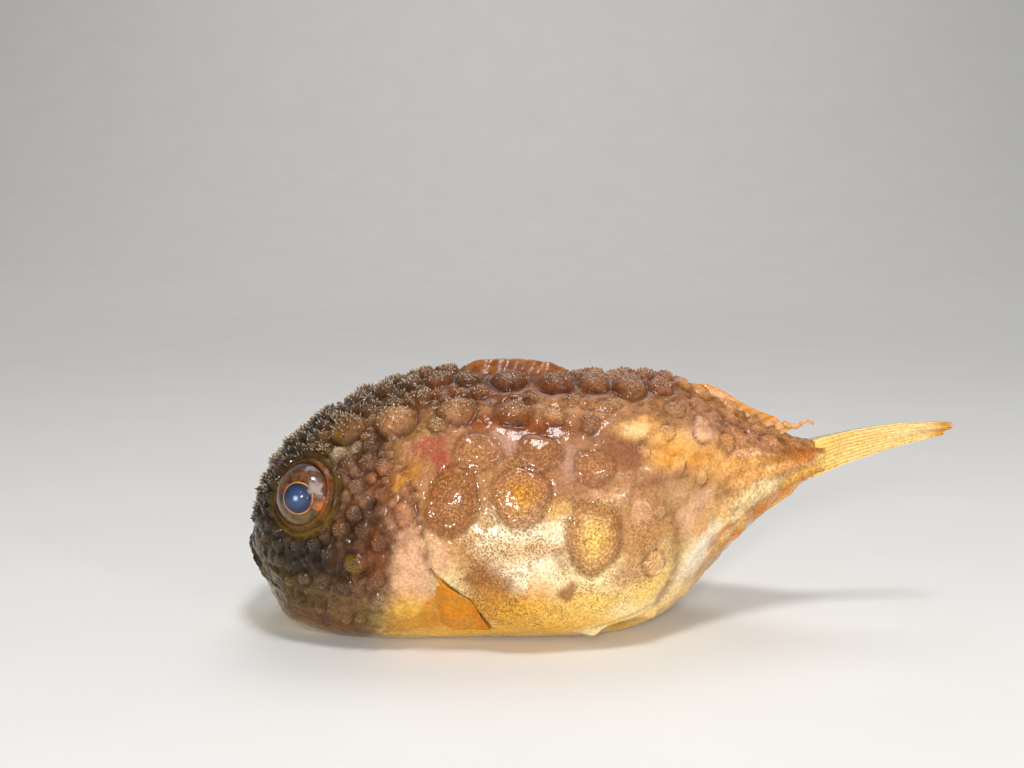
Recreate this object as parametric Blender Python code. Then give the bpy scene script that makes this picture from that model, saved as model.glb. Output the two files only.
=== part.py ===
"""Newfoundland spiny lumpsucker, life size, resting on its belly with its fins folded.

The fish faces -X and lies on the plane z = 0. Its left side faces -Y.
Lengths here are in millimetres and angles in degrees; finish() makes the metres.
A place on the skin is x along the fish and an angle round it:
0 is the middle of the flank, 90 the back and -90 the belly.
"""

import math
import random

import bmesh
import bpy
from mathutils import Matrix, Vector

MM = 0.001
GAP = 0.3
SEED = 7
LEFT, RIGHT = 1, -1

# Body sections: x, height of the back, height of the belly, half width, height of the widest line.
# A belly height below zero is pressed flat by the ground.
SECTIONS = (
    (-20.00, 5.60, 4.20, 0.90, 4.85),
    (-19.78, 6.40, 3.75, 2.10, 4.95),
    (-19.38, 7.65, 2.90, 3.05, 5.00),
    (-19.12, 8.35, 2.15, 3.50, 5.05),
    (-18.80, 9.05, 1.25, 3.95, 5.10),
    (-17.90, 10.20, 0.20, 4.80, 5.25),
    (-16.40, 11.45, -0.40, 5.75, 5.40),
    (-14.40, 12.65, -0.75, 6.50, 5.40),
    (-12.00, 13.55, -0.80, 7.00, 5.30),
    (-9.00, 14.10, -0.60, 7.35, 5.20),
    (-6.00, 14.20, -0.50, 7.50, 5.10),
    (-3.00, 14.10, -0.50, 7.40, 5.10),
    (0.00, 14.00, -0.45, 6.85, 5.20),
    (2.20, 13.92, 0.05, 6.00, 5.50),
    (4.00, 13.55, 1.00, 4.90, 6.20),
    (6.00, 12.70, 2.95, 3.50, 7.40),
    (8.50, 11.42, 5.50, 2.35, 8.30),
    (10.80, 10.56, 7.50, 1.35, 9.00),
    (12.65, 10.20, 8.45, 0.75, 9.35),
)
BACK_POWER = 2.15
BELLY_POWER = 2.5
SNOUT_X = SECTIONS[0][0]
TAIL_END_X = SECTIONS[-1][0]

# Where the head, trunk and tail are parted, and how finely each is meshed.
NECK_X = -12.75
RUMP_X = 3.83
SECTION_STEP = 0.95
SNOUT_SECTIONS = 5
TRUNK_SIDES, TAIL_SIDES = 30, 20

# The flank is pressed in under the folded pectoral fin.
BED_X, BED_ANGLE = -8.4, -28.0
BED_LENGTH, BED_SPREAD, BED_DEPTH = 2.6, 25.0, 0.75

EYE_X, EYE_ANGLE = -16.45, 25.0
EYE_RADIUS, EYE_SUNK, EYE_SIDES = 1.75, 0.85, 20
RIM_RADIUS, RIM_THICKNESS, RIM_RISE = 1.85, 0.36, 0.08

# The lips and the slit between them follow the round front of the snout: x grows by
# SNOUT_CURVE times y squared. Each has an x, a height, a droop at the corners and a radius.
SNOUT_CURVE = 0.10
MOUTH_SPAN, MOUTH_POINTS = 3.2, 11
UPPER_LIP = (-20.02, 4.66, 0.105, 0.38)
LOWER_LIP = (-19.68, 3.56, 0.095, 0.34)
MOUTH_SLIT = (-19.95, 4.10, 0.10, 0.32)
LIP_THINNING, SLIT_THINNING = 0.4, 0.6
NOSTRILS = ((-18.9, 44.0), (-17.9, 53.0))
NOSTRIL_RADIUS, NOSTRIL_LENGTH, NOSTRIL_HOLE = 0.28, 0.42, 0.2

DISC_X = -8.2
DISC_HALF_LENGTH, DISC_HALF_WIDTH, DISC_THICKNESS = 2.9, 2.7, 0.95
DISC_SIDES, DISC_LOBE, DISC_RIM, DISC_HOLLOW = 28, 0.05, 0.8, 0.45

# Fin rays stand RAY_RISE above the membrane on each face, and fins thin towards their edge.
FIN_THICKNESS, CAUDAL_THICKNESS = 0.55, 0.75
RAY_RISE, FIN_THINNING, FIN_NOTCH = 0.13, 0.35, 0.05
FIN_ROWS = 5

# Each fin's rays, and its root and edge from the first ray to the last. The dorsal fins and the
# root of the anal fin follow the body, so only their x is given.
FIRST_DORSAL_RAYS, FIRST_DORSAL_ROOT, FIRST_DORSAL_EDGE = 6, (-7.5, -2.7), (-7.1, -1.7)
FIRST_DORSAL_HEIGHT, FIRST_DORSAL_ARCH = 0.3, 0.32
SECOND_DORSAL_RAYS, SECOND_DORSAL_ROOT, SECOND_DORSAL_EDGE = 10, (4.9, 9.7), (5.3, 12.05)
SECOND_DORSAL_HEIGHT, SECOND_DORSAL_ARCH = (0.62, 0.88), 0.42
ANAL_RAYS, ANAL_ROOT, ANAL_EDGE, ANAL_EDGE_Z = 9, (6.0, 10.6), (7.0, 12.45), (3.45, 8.15)
ANAL_GAP = GAP * 1.35
CAUDAL_RAYS, CAUDAL_ROOT_Z = 8, (8.5, 10.15)
CAUDAL_TIP_X, CAUDAL_TIP_Z, CAUDAL_ROUND = (18.9, 19.3), (10.45, 11.35), 1.35
PECTORAL_RAYS = 8
PECTORAL_ROOT_X, PECTORAL_ROOT_ANGLES, PECTORAL_ROOT_ROUND = -9.75, (-6, -37), 0.3
PECTORAL_TIP_X, PECTORAL_TIP_ANGLES, PECTORAL_TIP_ROUND = (-7.3, -6.5), (-20, -37), 0.3
PECTORAL_CLEARANCE = 0.02

# Single tubercles on one side of the head, all cones: x, angle and radius.
HEAD_SPOTS = (
    (-19.05, 68, 0.38),
    (-19.25, 83, 0.28),
    (-18.25, 67, 0.30),
    (-16.85, 85, 0.36),
    (-14.95, 84, 0.40),
    (-18.60, 79, 0.40),
    (-17.75, 80, 0.44),
    (-16.75, 71, 0.62),
    (-15.95, 82, 0.50),
    (-14.75, 68, 0.42),
    (-13.95, 81, 0.58),
    (-13.95, 56, 1.00),
    (-15.25, 48, 0.40),
    (-13.90, 37, 0.42),
    (-13.55, 26, 0.38),
    (-13.50, 15, 0.40),
    (-14.20, 9, 0.44),
    (-13.45, -2, 0.50),
    (-14.90, 0, 0.38),
    (-15.70, 3, 0.40),
    (-16.65, 2, 0.36),
    (-17.75, -4, 0.40),
    (-18.60, 7, 0.32),
    (-19.30, 34, 0.36),
    (-18.85, 48, 0.36),
    (-18.45, -16, 0.36),
    (-17.35, -15, 0.38),
    (-16.30, -11, 0.40),
    (-15.25, -12, 0.48),
    (-14.05, -12, 0.46),
    (-16.65, -24, 0.40),
    (-15.50, -28, 0.36),
    (-14.65, -22, 0.36),
    (-13.45, -20, 0.40),
    (-14.05, -33, 0.34),
    (-17.60, -30, 0.36),
)
# Rows of tubercles on one side: x and angle of the first, x and angle of the last, how many,
# radius of the first and of the last, and their form.
TRUNK_ROWS = (
    (-11.85, 80, -7.60, 77, 4, 0.64, 0.70, "cone"),
    (-5.30, 74, 2.95, 77, 5, 0.78, 0.52, "cone"),
    (-10.40, 66, -6.90, 65, 3, 0.46, 0.50, "cone"),
    (-4.20, 63, 2.10, 61, 4, 0.46, 0.42, "cone"),
    (-11.30, 53, -5.30, 54, 3, 1.12, 0.90, "cone"),
    (-2.90, 51, 2.90, 48, 4, 0.60, 0.62, "cone"),
    (-11.95, 34, -9.70, 40, 2, 0.48, 0.52, "cone"),
    (-12.10, 25, -11.90, 3, 3, 0.34, 0.48, "cone"),
    (-12.05, -7, -11.95, -27, 3, 0.42, 0.36, "cone"),
    (-10.80, 15, -10.80, 15, 1, 0.48, 0.48, "cone"),
    (-6.86, 38, -3.74, 38, 2, 1.19, 1.22, "plate"),
    (-8.30, 18, -4.70, 20, 2, 1.36, 1.18, "plate"),
    (-1.06, 6, -0.87, 31, 2, 1.48, 1.00, "plate"),
    (1.60, 26, 2.40, -7, 2, 0.72, 0.70, "cone"),
    (0.90, 42, 2.90, 32, 2, 0.42, 0.40, "cone"),
    (-0.20, -40, 2.20, -33, 2, 0.36, 0.36, "cone"),
)
TAIL_ROWS = (
    (4.85, 73, 9.90, 62, 4, 0.55, 0.42, "cone"),
    (4.75, 44, 10.10, 38, 4, 0.54, 0.40, "cone"),
    (4.95, 16, 8.40, 14, 3, 0.46, 0.38, "cone"),
)
PLACE_JITTER, ANGLE_JITTER, RADIUS_JITTER = 0.06, 1.0, 0.05

# A tubercle's form. Its rise and widths are shares of its radius, its heights shares of its rise.
CONE_RISE, PLATE_RISE = 0.80, 0.24
CONE_SHOULDER, PLATE_SHOULDER = 0.5, 0.8
SHOULDER_WIDTH, CROWN_INSET = 0.8, 0.34
PRICKLE_LIFT, CROWN_LIFT, PLATE_TIP = 0.42, 0.12, 0.92
LARGE_RADIUS = 0.75
ROOT_DEPTH = 0.32

COLOURS = {
    "head skin": ((0.105, 0.070, 0.040), 0.35),
    "trunk skin": ((0.330, 0.185, 0.090), 0.32),
    "tail skin": ((0.520, 0.290, 0.120), 0.32),
    "fin": ((0.780, 0.480, 0.160), 0.40),
    "eye": ((0.040, 0.060, 0.140), 0.08),
    "sucker": ((0.700, 0.560, 0.420), 0.40),
}


def between(first, last, t):
    return first + (last - first) * t


def slope_at(k, column):
    before = SECTIONS[max(k - 1, 0)]
    after = SECTIONS[min(k + 1, len(SECTIONS) - 1)]
    return (after[column] - before[column]) / (after[0] - before[0])


def measure_at(x, column):
    """One column of SECTIONS at x, on a smooth curve through the sections."""
    x = min(max(x, SNOUT_X), TAIL_END_X)
    k = 0
    while k < len(SECTIONS) - 2 and SECTIONS[k + 1][0] < x:
        k += 1
    first, second = SECTIONS[k], SECTIONS[k + 1]
    span = second[0] - first[0]
    t = (x - first[0]) / span
    return (
        (2 * t**3 - 3 * t**2 + 1) * first[column]
        + (t**3 - 2 * t**2 + t) * span * slope_at(k, column)
        + (3 * t**2 - 2 * t**3) * second[column]
        + (t**3 - t**2) * span * slope_at(k + 1, column)
    )


def bed_depth(x, angle):
    """How far the flank is pressed in under the folded pectoral fin."""
    along = (x - BED_X) / BED_LENGTH
    around = (angle - BED_ANGLE) / BED_SPREAD
    return BED_DEPTH * math.exp(-(along**4) - around**4)


def free_skin(x, angle):
    """The skin of the left side as it would hang clear of the ground."""
    back, belly, half, widest = (measure_at(x, column) for column in (1, 2, 3, 4))
    across, up = math.cos(math.radians(angle)), math.sin(math.radians(angle))
    power = BACK_POWER if up >= 0 else BELLY_POWER
    reach = back - widest if up >= 0 else widest - belly
    y = (half - bed_depth(x, angle)) * across ** (2 / power)
    z = widest + reach * math.copysign(abs(up) ** (2 / power), up)
    return Vector((x, -y, z))


def skin(x, angle, side=LEFT):
    """A point on the skin, pressed flat where it meets the ground."""
    point = free_skin(x, angle)
    return Vector((point.x, point.y * side, max(point.z, 0.0)))


def outward(x, angle, side=LEFT):
    """The direction straight out of the skin."""
    step_x, step_angle = 0.15, 2.0
    along = free_skin(x + step_x, angle) - free_skin(x - step_x, angle)
    around = free_skin(x, min(angle + step_angle, 89.0)) - free_skin(x, max(angle - step_angle, -89.0))
    normal = along.cross(around).normalized()
    if normal.y > 0:
        normal.negate()
    return Vector((normal.x, normal.y * side, normal.z))


def facing(point, direction, spin=0.0):
    """A matrix that stands a shape's own +Z along direction at point, turned by spin about it."""
    turn = direction.to_track_quat("Z", "Y").to_matrix().to_4x4()
    return Matrix.Translation(point) @ turn @ Matrix.Rotation(spin, 4, "Z")


def make_collection(name):
    collection = bpy.data.collections.new(name)
    bpy.context.scene.collection.children.link(collection)
    return collection


def material(name):
    found = bpy.data.materials.get(name)
    if found:
        return found
    colour, roughness = COLOURS[name]
    made = bpy.data.materials.new(name)
    made.use_nodes = True
    shader = made.node_tree.nodes["Principled BSDF"]
    shader.inputs["Base Color"].default_value = (*colour, 1.0)
    shader.inputs["Roughness"].default_value = roughness
    shader.inputs["Metallic"].default_value = 0.0
    return made


def finish(bm, name, collection, colour):
    """Turns a closed bmesh in millimetres into a named object in metres."""
    bmesh.ops.triangulate(bm, faces=bm.faces)
    bmesh.ops.recalc_face_normals(bm, faces=bm.faces)
    bmesh.ops.scale(bm, vec=(MM, MM, MM), verts=bm.verts)
    mesh = bpy.data.meshes.new(name)
    bm.to_mesh(mesh)
    bm.free()
    mesh.materials.append(material(colour))
    obj = bpy.data.objects.new(name, mesh)
    collection.objects.link(obj)
    return obj


def add_band(bm, first, second):
    """A band of triangles between two closed rings of vertices, all split the same way."""
    for k in range(len(first)):
        after = (k + 1) % len(first)
        bm.faces.new((first[k], first[after], second[after]))
        bm.faces.new((first[k], second[after], second[k]))


def section_ring(bm, x, sides):
    """One closed section of the body: up the left side, over the back and down the right."""
    angles = [-90 + 360 * k / sides for k in range(sides // 2 + 1)]
    left = [skin(x, angle, LEFT) for angle in angles]
    right = [skin(x, angle, RIGHT) for angle in reversed(angles[1:-1])]
    return [bm.verts.new(point) for point in left + right]


def stations_between(start, end):
    """Where the sections of one body part lie, closer together on the blunt snout."""
    stations = [start]
    stations += [x for x, *_ in SECTIONS[1:SNOUT_SECTIONS] if start == SNOUT_X]
    count = math.ceil((end - stations[-1]) / SECTION_STEP)
    first = stations[-1]
    stations += [first + (end - first) * (k + 1) / count for k in range(count)]
    return stations


def body_part(name, start, end, sides, collection, colour):
    """The closed length of body between two x, with a flat face at each end."""
    bm = bmesh.new()
    rings = [section_ring(bm, x, sides) for x in stations_between(start, end)]
    for first, second in zip(rings, rings[1:]):
        add_band(bm, first, second)
    bm.faces.new(rings[0])
    bm.faces.new(rings[-1])
    return finish(bm, name, collection, colour)


def tubercle(name, place, direction, radius, form, spin, collection):
    """One bony tubercle: a low plate, or a cone whose crown of prickles rings its own point."""
    sides = 6 if radius < LARGE_RADIUS else 8
    cone = form == "cone"
    rise = radius * (CONE_RISE if cone else PLATE_RISE)
    shoulder = rise * (CONE_SHOULDER if cone else PLATE_SHOULDER)
    bm = bmesh.new()
    bmesh.ops.create_cone(
        bm,
        cap_ends=True,
        segments=sides,
        radius1=radius,
        radius2=radius * SHOULDER_WIDTH,
        depth=ROOT_DEPTH + shoulder,
    )
    bmesh.ops.translate(bm, vec=(0, 0, (shoulder - ROOT_DEPTH) / 2), verts=bm.verts)
    top = max(bm.faces, key=lambda face: face.calc_center_median().z)
    bmesh.ops.inset_region(bm, faces=[top], thickness=radius * CROWN_INSET)
    for k, vertex in enumerate(top.verts):
        vertex.co.z += rise * (PRICKLE_LIFT if cone and k % 2 == 0 else CROWN_LIFT)
    tip = bmesh.ops.poke(bm, faces=[top])["verts"][0]
    tip.co.z = rise if cone else rise * PLATE_TIP
    bmesh.ops.transform(bm, matrix=facing(place, direction, spin), verts=bm.verts)
    return finish(bm, name, collection, "trunk skin")


def row_spots(rows):
    """The single tubercles of each row: x, angle, radius and form."""
    for first_x, first_angle, last_x, last_angle, count, first_radius, last_radius, form in rows:
        for k in range(count):
            t = k / max(count - 1, 1)
            angle = between(first_angle, last_angle, t)
            yield between(first_x, last_x, t), angle, between(first_radius, last_radius, t), form


def add_tubercles(spots, draw, pieces):
    """Sets every tubercle on both sides, each a little off its place and size."""
    for x, angle, radius, form in spots:
        for side in (LEFT, RIGHT):
            at_x = x + draw.uniform(-PLACE_JITTER, PLACE_JITTER)
            at_angle = angle + draw.uniform(-ANGLE_JITTER, ANGLE_JITTER)
            size = radius * draw.uniform(1 - RADIUS_JITTER, 1 + RADIUS_JITTER)
            spin = draw.uniform(0, math.tau)
            place, direction = skin(at_x, at_angle, side), outward(at_x, at_angle, side)
            tubercle("tubercle", place, direction, size, form, spin, pieces)


def ball(name, centre, direction, radius, collection):
    """A closed ball whose poles lie along direction."""
    bm = bmesh.new()
    bmesh.ops.create_uvsphere(bm, u_segments=EYE_SIDES, v_segments=EYE_SIDES // 2, radius=radius)
    bmesh.ops.transform(bm, matrix=facing(centre, direction), verts=bm.verts)
    return finish(bm, name, collection, "eye")


def eye_pose(side):
    """Centre of the eyeball, the middle of its rim and the way it looks."""
    direction = outward(EYE_X, EYE_ANGLE, side)
    surface = skin(EYE_X, EYE_ANGLE, side)
    return surface - direction * EYE_SUNK, surface + direction * RIM_RISE, direction


def add_eye_rim(side, pieces):
    """The round fleshy rim of the socket."""
    _, middle, direction = eye_pose(side)
    bpy.ops.mesh.primitive_torus_add(
        major_segments=18,
        minor_segments=6,
        major_radius=RIM_RADIUS * MM,
        minor_radius=RIM_THICKNESS * MM,
    )
    rim = bpy.context.active_object
    rim.data.transform(facing(middle * MM, direction))
    bpy.context.collection.objects.unlink(rim)
    pieces.objects.link(rim)


def curve_to_mesh(obj, collection):
    """A mesh copy of a curve object, its caps welded, in place of the curve."""
    bpy.context.view_layer.update()
    evaluated = obj.evaluated_get(bpy.context.evaluated_depsgraph_get())
    mesh = bpy.data.meshes.new_from_object(evaluated)
    bm = bmesh.new()
    bm.from_mesh(mesh)
    bmesh.ops.remove_doubles(bm, verts=bm.verts, dist=0.001 * MM)
    bmesh.ops.recalc_face_normals(bm, faces=bm.faces)
    bm.to_mesh(mesh)
    bm.free()
    made = bpy.data.objects.new(obj.name + " mesh", mesh)
    collection.objects.link(made)
    bpy.data.objects.remove(obj, do_unlink=True)


def add_mouth_tube(name, tube, thinning, pieces):
    """A bent tube round the front of the snout, thinner at the corners of the mouth."""
    middle_x, height, droop, radius = tube
    curve = bpy.data.curves.new(name, "CURVE")
    curve.dimensions = "3D"
    curve.bevel_depth = radius * MM
    curve.bevel_resolution = 1
    curve.use_fill_caps = True
    spline = curve.splines.new("POLY")
    spline.points.add(MOUTH_POINTS - 1)
    for k, point in enumerate(spline.points):
        share = 2 * k / (MOUTH_POINTS - 1) - 1
        y = MOUTH_SPAN * share
        place = Vector((middle_x + SNOUT_CURVE * y**2, y, height - droop * y**2)) * MM
        point.co = (*place, 1.0)
        point.radius = 1 - thinning * share**4
    obj = bpy.data.objects.new(name, curve)
    pieces.objects.link(obj)
    curve_to_mesh(obj, pieces)


def add_nostril(x, angle, side, pieces):
    """A short tube with a dimpled end."""
    bm = bmesh.new()
    depth = NOSTRIL_LENGTH + ROOT_DEPTH
    bmesh.ops.create_cone(
        bm,
        cap_ends=True,
        segments=8,
        radius1=NOSTRIL_RADIUS,
        radius2=NOSTRIL_RADIUS * 0.8,
        depth=depth,
    )
    bmesh.ops.translate(bm, vec=(0, 0, depth / 2 - ROOT_DEPTH), verts=bm.verts)
    top = max(bm.faces, key=lambda face: face.calc_center_median().z)
    bmesh.ops.inset_region(bm, faces=[top], thickness=NOSTRIL_RADIUS * 0.3)
    bmesh.ops.translate(bm, vec=(0, 0, -NOSTRIL_HOLE), verts=top.verts)
    place, direction = skin(x, angle, side), outward(x, angle, side)
    bmesh.ops.transform(bm, matrix=facing(place, direction), verts=bm.verts)
    finish(bm, "nostril", pieces, "head skin")


def apply_boolean(obj, operation, pieces):
    """One Boolean with a whole collection, applied; the collection's objects are then removed."""
    modifier = obj.modifiers.new(operation.lower(), "BOOLEAN")
    modifier.operation = operation
    modifier.operand_type = "COLLECTION"
    modifier.collection = pieces
    modifier.solver = "MANIFOLD"
    bpy.context.view_layer.update()
    with bpy.context.temp_override(object=obj, active_object=obj):
        bpy.ops.object.modifier_apply(modifier=modifier.name)
    for piece in list(pieces.objects):
        bpy.data.objects.remove(piece, do_unlink=True)
    bpy.data.collections.remove(pieces)


def keep_largest(obj):
    """Leaves obj only its largest closed surface."""
    bm = bmesh.new()
    bm.from_mesh(obj.data)
    unseen = set(bm.verts)
    surfaces = []
    while unseen:
        surface, front = set(), [unseen.pop()]
        while front:
            vertex = front.pop()
            surface.add(vertex)
            fresh = {edge.other_vert(vertex) for edge in vertex.link_edges} & unseen
            unseen -= fresh
            front.extend(fresh)
        surfaces.append(surface)
    surfaces.sort(key=len)
    for surface in surfaces[:-1]:
        bmesh.ops.delete(bm, geom=list(surface), context="VERTS")
    bm.to_mesh(obj.data)
    bm.free()


def build_head(fish, draw):
    head = body_part("head", SNOUT_X, NECK_X - GAP / 2, TRUNK_SIDES, fish, "head skin")
    pieces = make_collection("head pieces")
    add_tubercles([(*spot, "cone") for spot in HEAD_SPOTS], draw, pieces)
    add_mouth_tube("upper lip", UPPER_LIP, LIP_THINNING, pieces)
    add_mouth_tube("lower lip", LOWER_LIP, LIP_THINNING, pieces)
    for side in (LEFT, RIGHT):
        add_eye_rim(side, pieces)
        for x, angle in NOSTRILS:
            add_nostril(x, angle, side, pieces)
    apply_boolean(head, "UNION", pieces)

    cutters = make_collection("head cutters")
    for side in (LEFT, RIGHT):
        centre, _, direction = eye_pose(side)
        ball("socket", centre, direction, EYE_RADIUS + GAP, cutters)
    add_mouth_tube("mouth slit", MOUTH_SLIT, SLIT_THINNING, cutters)
    apply_boolean(head, "DIFFERENCE", cutters)
    keep_largest(head)


def build_eyes(fish):
    for name, side in (("eye_left", LEFT), ("eye_right", RIGHT)):
        centre, _, direction = eye_pose(side)
        ball(name, centre, direction, EYE_RADIUS, fish)


def disc_outline(bm, grow, bottom, top):
    """A closed oval slab, DISC_SIDES round, grown by a margin; it has lobes when the margin is 0."""
    bmesh.ops.create_cone(
        bm, cap_ends=True, segments=DISC_SIDES, radius1=1.0, radius2=1.0, depth=top - bottom
    )
    for vertex in bm.verts:
        step = round(math.atan2(vertex.co.y, vertex.co.x) / math.tau * DISC_SIDES)
        lobe = 1 - DISC_LOBE if grow == 0 and step % 2 else 1.0
        vertex.co.x = DISC_X + vertex.co.x * (DISC_HALF_LENGTH * lobe + grow)
        vertex.co.y *= DISC_HALF_WIDTH * lobe + grow
        vertex.co.z += (top + bottom) / 2


def build_sucker(fish):
    """The belly's sucker: an oval disc with a lobed rim round a shallow cup."""
    bm = bmesh.new()
    disc_outline(bm, 0.0, 0.0, DISC_THICKNESS)
    cup = min(bm.faces, key=lambda face: face.calc_center_median().z)
    rim = DISC_HALF_WIDTH * (1 - DISC_RIM)
    bmesh.ops.inset_region(bm, faces=[cup], thickness=rim)
    bmesh.ops.inset_region(bm, faces=[cup], thickness=rim)
    bmesh.ops.translate(bm, vec=(0, 0, DISC_HOLLOW), verts=cup.verts)
    finish(bm, "sucker_disc", fish, "sucker")


def build_trunk(fish, draw):
    start, end = NECK_X + GAP / 2, RUMP_X - GAP / 2
    trunk = body_part("trunk", start, end, TRUNK_SIDES, fish, "trunk skin")
    pieces = make_collection("trunk pieces")
    add_tubercles(row_spots(TRUNK_ROWS), draw, pieces)
    apply_boolean(trunk, "UNION", pieces)

    cutters = make_collection("trunk cutters")
    bm = bmesh.new()
    disc_outline(bm, GAP, -1.0, DISC_THICKNESS + GAP)
    finish(bm, "sucker bed", cutters, "trunk skin")
    apply_boolean(trunk, "DIFFERENCE", cutters)
    keep_largest(trunk)


def build_tail(fish, draw):
    tail = body_part("tail", RUMP_X + GAP / 2, TAIL_END_X, TAIL_SIDES, fish, "tail skin")
    pieces = make_collection("tail pieces")
    add_tubercles(row_spots(TAIL_ROWS), draw, pieces)
    apply_boolean(tail, "UNION", pieces)
    keep_largest(tail)


def grid_normal(columns, i, j):
    """The direction out of one face of the sheet at column i, row j."""
    left, right = columns[max(i - 1, 0)], columns[min(i + 1, len(columns) - 1)]
    column = columns[i]
    across = right[j] - left[j]
    along = column[min(j + 1, len(column) - 1)] - column[max(j - 1, 0)]
    return across.cross(along).normalized()


def build_fin(name, columns, thickness, fish):
    """A closed sheet over columns of points that run from root to edge.

    Every second column is a ray, which stands as a ridge on both faces. Both faces are
    split into triangles the same way, so they never cross.
    """
    bm = bmesh.new()
    count, rows = len(columns), len(columns[0])
    faces = ([], [])
    for i, column in enumerate(columns):
        rise = RAY_RISE if i % 2 == 0 else 0.0
        for sheet in faces:
            sheet.append([])
        for j, point in enumerate(column):
            half = (thickness / 2 + rise) * (1 - FIN_THINNING * j / (rows - 1))
            normal = grid_normal(columns, i, j)
            faces[0][i].append(bm.verts.new(point + normal * half))
            faces[1][i].append(bm.verts.new(point - normal * half))
    for sheet in faces:
        for i in range(count - 1):
            for j in range(rows - 1):
                bm.faces.new((sheet[i][j], sheet[i + 1][j], sheet[i + 1][j + 1]))
                bm.faces.new((sheet[i][j], sheet[i + 1][j + 1], sheet[i][j + 1]))
    edge = [(i, 0) for i in range(count)] + [(count - 1, j) for j in range(1, rows)]
    edge += [(i, rows - 1) for i in range(count - 2, -1, -1)] + [(0, j) for j in range(rows - 2, 0, -1)]
    front, back = faces
    add_band(bm, [front[i][j] for i, j in edge], [back[i][j] for i, j in edge])
    return finish(bm, name, fish, "fin")


def fin_columns(rays, root_at, tip_at, place=lambda point: point):
    """Columns of points for build_fin: straight from root_at(t) to tip_at(t), t from 0 to 1."""
    columns = []
    for i in range(2 * rays - 1):
        t = i / (2 * rays - 2)
        root, tip = root_at(t), tip_at(t)
        reach = 1.0 if i % 2 == 0 else 1 - FIN_NOTCH
        shares = [reach * j / (FIN_ROWS - 1) for j in range(FIN_ROWS)]
        columns.append([place(root.lerp(tip, share)) for share in shares])
    return columns


def arch(t):
    """0 at both ends of a fin and 1 in its middle."""
    return math.sin(math.pi * t)


def back_point(x, height):
    return Vector((x, 0.0, measure_at(x, 1) + height))


def build_first_dorsal(fish):
    """A low crest of spines, leaning back."""

    def root_at(t):
        return back_point(between(*FIRST_DORSAL_ROOT, t), GAP)

    def tip_at(t):
        height = GAP + FIRST_DORSAL_HEIGHT + FIRST_DORSAL_ARCH * arch(t) ** 0.5
        return back_point(between(*FIRST_DORSAL_EDGE, t), height)

    columns = fin_columns(FIRST_DORSAL_RAYS, root_at, tip_at)
    build_fin("first_dorsal_fin", columns, FIN_THICKNESS, fish)


def build_second_dorsal(fish):
    """The soft dorsal, folded back along the tail to a free tip."""

    def root_at(t):
        return back_point(between(*SECOND_DORSAL_ROOT, t), GAP)

    def tip_at(t):
        height = between(*SECOND_DORSAL_HEIGHT, t) + SECOND_DORSAL_ARCH * arch(t)
        return back_point(between(*SECOND_DORSAL_EDGE, t), height)

    columns = fin_columns(SECOND_DORSAL_RAYS, root_at, tip_at)
    build_fin("second_dorsal_fin", columns, FIN_THICKNESS, fish)


def build_anal(fish):
    """The anal fin, folded back along the underside of the tail."""

    def root_at(t):
        x = between(*ANAL_ROOT, t)
        return Vector((x, 0.0, measure_at(x, 2) - ANAL_GAP))

    def tip_at(t):
        return Vector((between(*ANAL_EDGE, t), 0.0, between(*ANAL_EDGE_Z, t)))

    build_fin("anal_fin", fin_columns(ANAL_RAYS, root_at, tip_at), FIN_THICKNESS, fish)


def build_caudal(fish):
    """The tail fin, folded to a narrow wedge that points back and up."""

    def root_at(t):
        return Vector((TAIL_END_X + GAP, 0.0, between(*CAUDAL_ROOT_Z, t)))

    def tip_at(t):
        x = between(*CAUDAL_TIP_X, t) + CAUDAL_ROUND * arch(t)
        return Vector((x, 0.0, between(*CAUDAL_TIP_Z, t)))

    build_fin("caudal_fin", fin_columns(CAUDAL_RAYS, root_at, tip_at), CAUDAL_THICKNESS, fish)


def build_pectoral(name, side, fish):
    """A pectoral fin folded back in its bed: its rays fan from a root line behind the cheek."""
    half = FIN_THICKNESS / 2 + RAY_RISE
    lift = GAP + half

    def root_at(t):
        x = PECTORAL_ROOT_X - PECTORAL_ROOT_ROUND * arch(t)
        return Vector((x, between(*PECTORAL_ROOT_ANGLES, t), 0))

    def tip_at(t):
        x = between(*PECTORAL_TIP_X, t) + PECTORAL_TIP_ROUND * arch(t)
        return Vector((x, between(*PECTORAL_TIP_ANGLES, t), 0))

    def place(point):
        on_skin = skin(point.x, point.y, side) + outward(point.x, point.y, side) * lift
        on_skin.z = max(on_skin.z, half + PECTORAL_CLEARANCE)
        return on_skin

    build_fin(name, fin_columns(PECTORAL_RAYS, root_at, tip_at, place), FIN_THICKNESS, fish)


def main():
    for obj in list(bpy.data.objects):
        bpy.data.objects.remove(obj, do_unlink=True)
    draw = random.Random(SEED)
    fish = make_collection("newfoundland spiny lumpsucker")
    build_head(fish, draw)
    build_trunk(fish, draw)
    build_tail(fish, draw)
    build_eyes(fish)
    build_sucker(fish)
    build_first_dorsal(fish)
    build_second_dorsal(fish)
    build_anal(fish)
    build_caudal(fish)
    build_pectoral("pectoral_fin_left", LEFT, fish)
    build_pectoral("pectoral_fin_right", RIGHT, fish)


main()
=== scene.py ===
"""Looks of a Newfoundland spiny lumpsucker, life size, at rest on its belly with its fins folded.

The fish faces -X on the plane z = 0 and its left side faces -Y. Shapes are worked out in
millimetres and made metres when a mesh is built. A place on the skin is x along the fish and an
angle round it: 0 is the middle of the flank, 90 the back and -90 the belly.
"""

import math
import random

import bmesh
import bpy
import numpy as np
from mathutils import Matrix, Vector, noise
from mathutils.bvhtree import BVHTree
from mathutils.kdtree import KDTree


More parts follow.
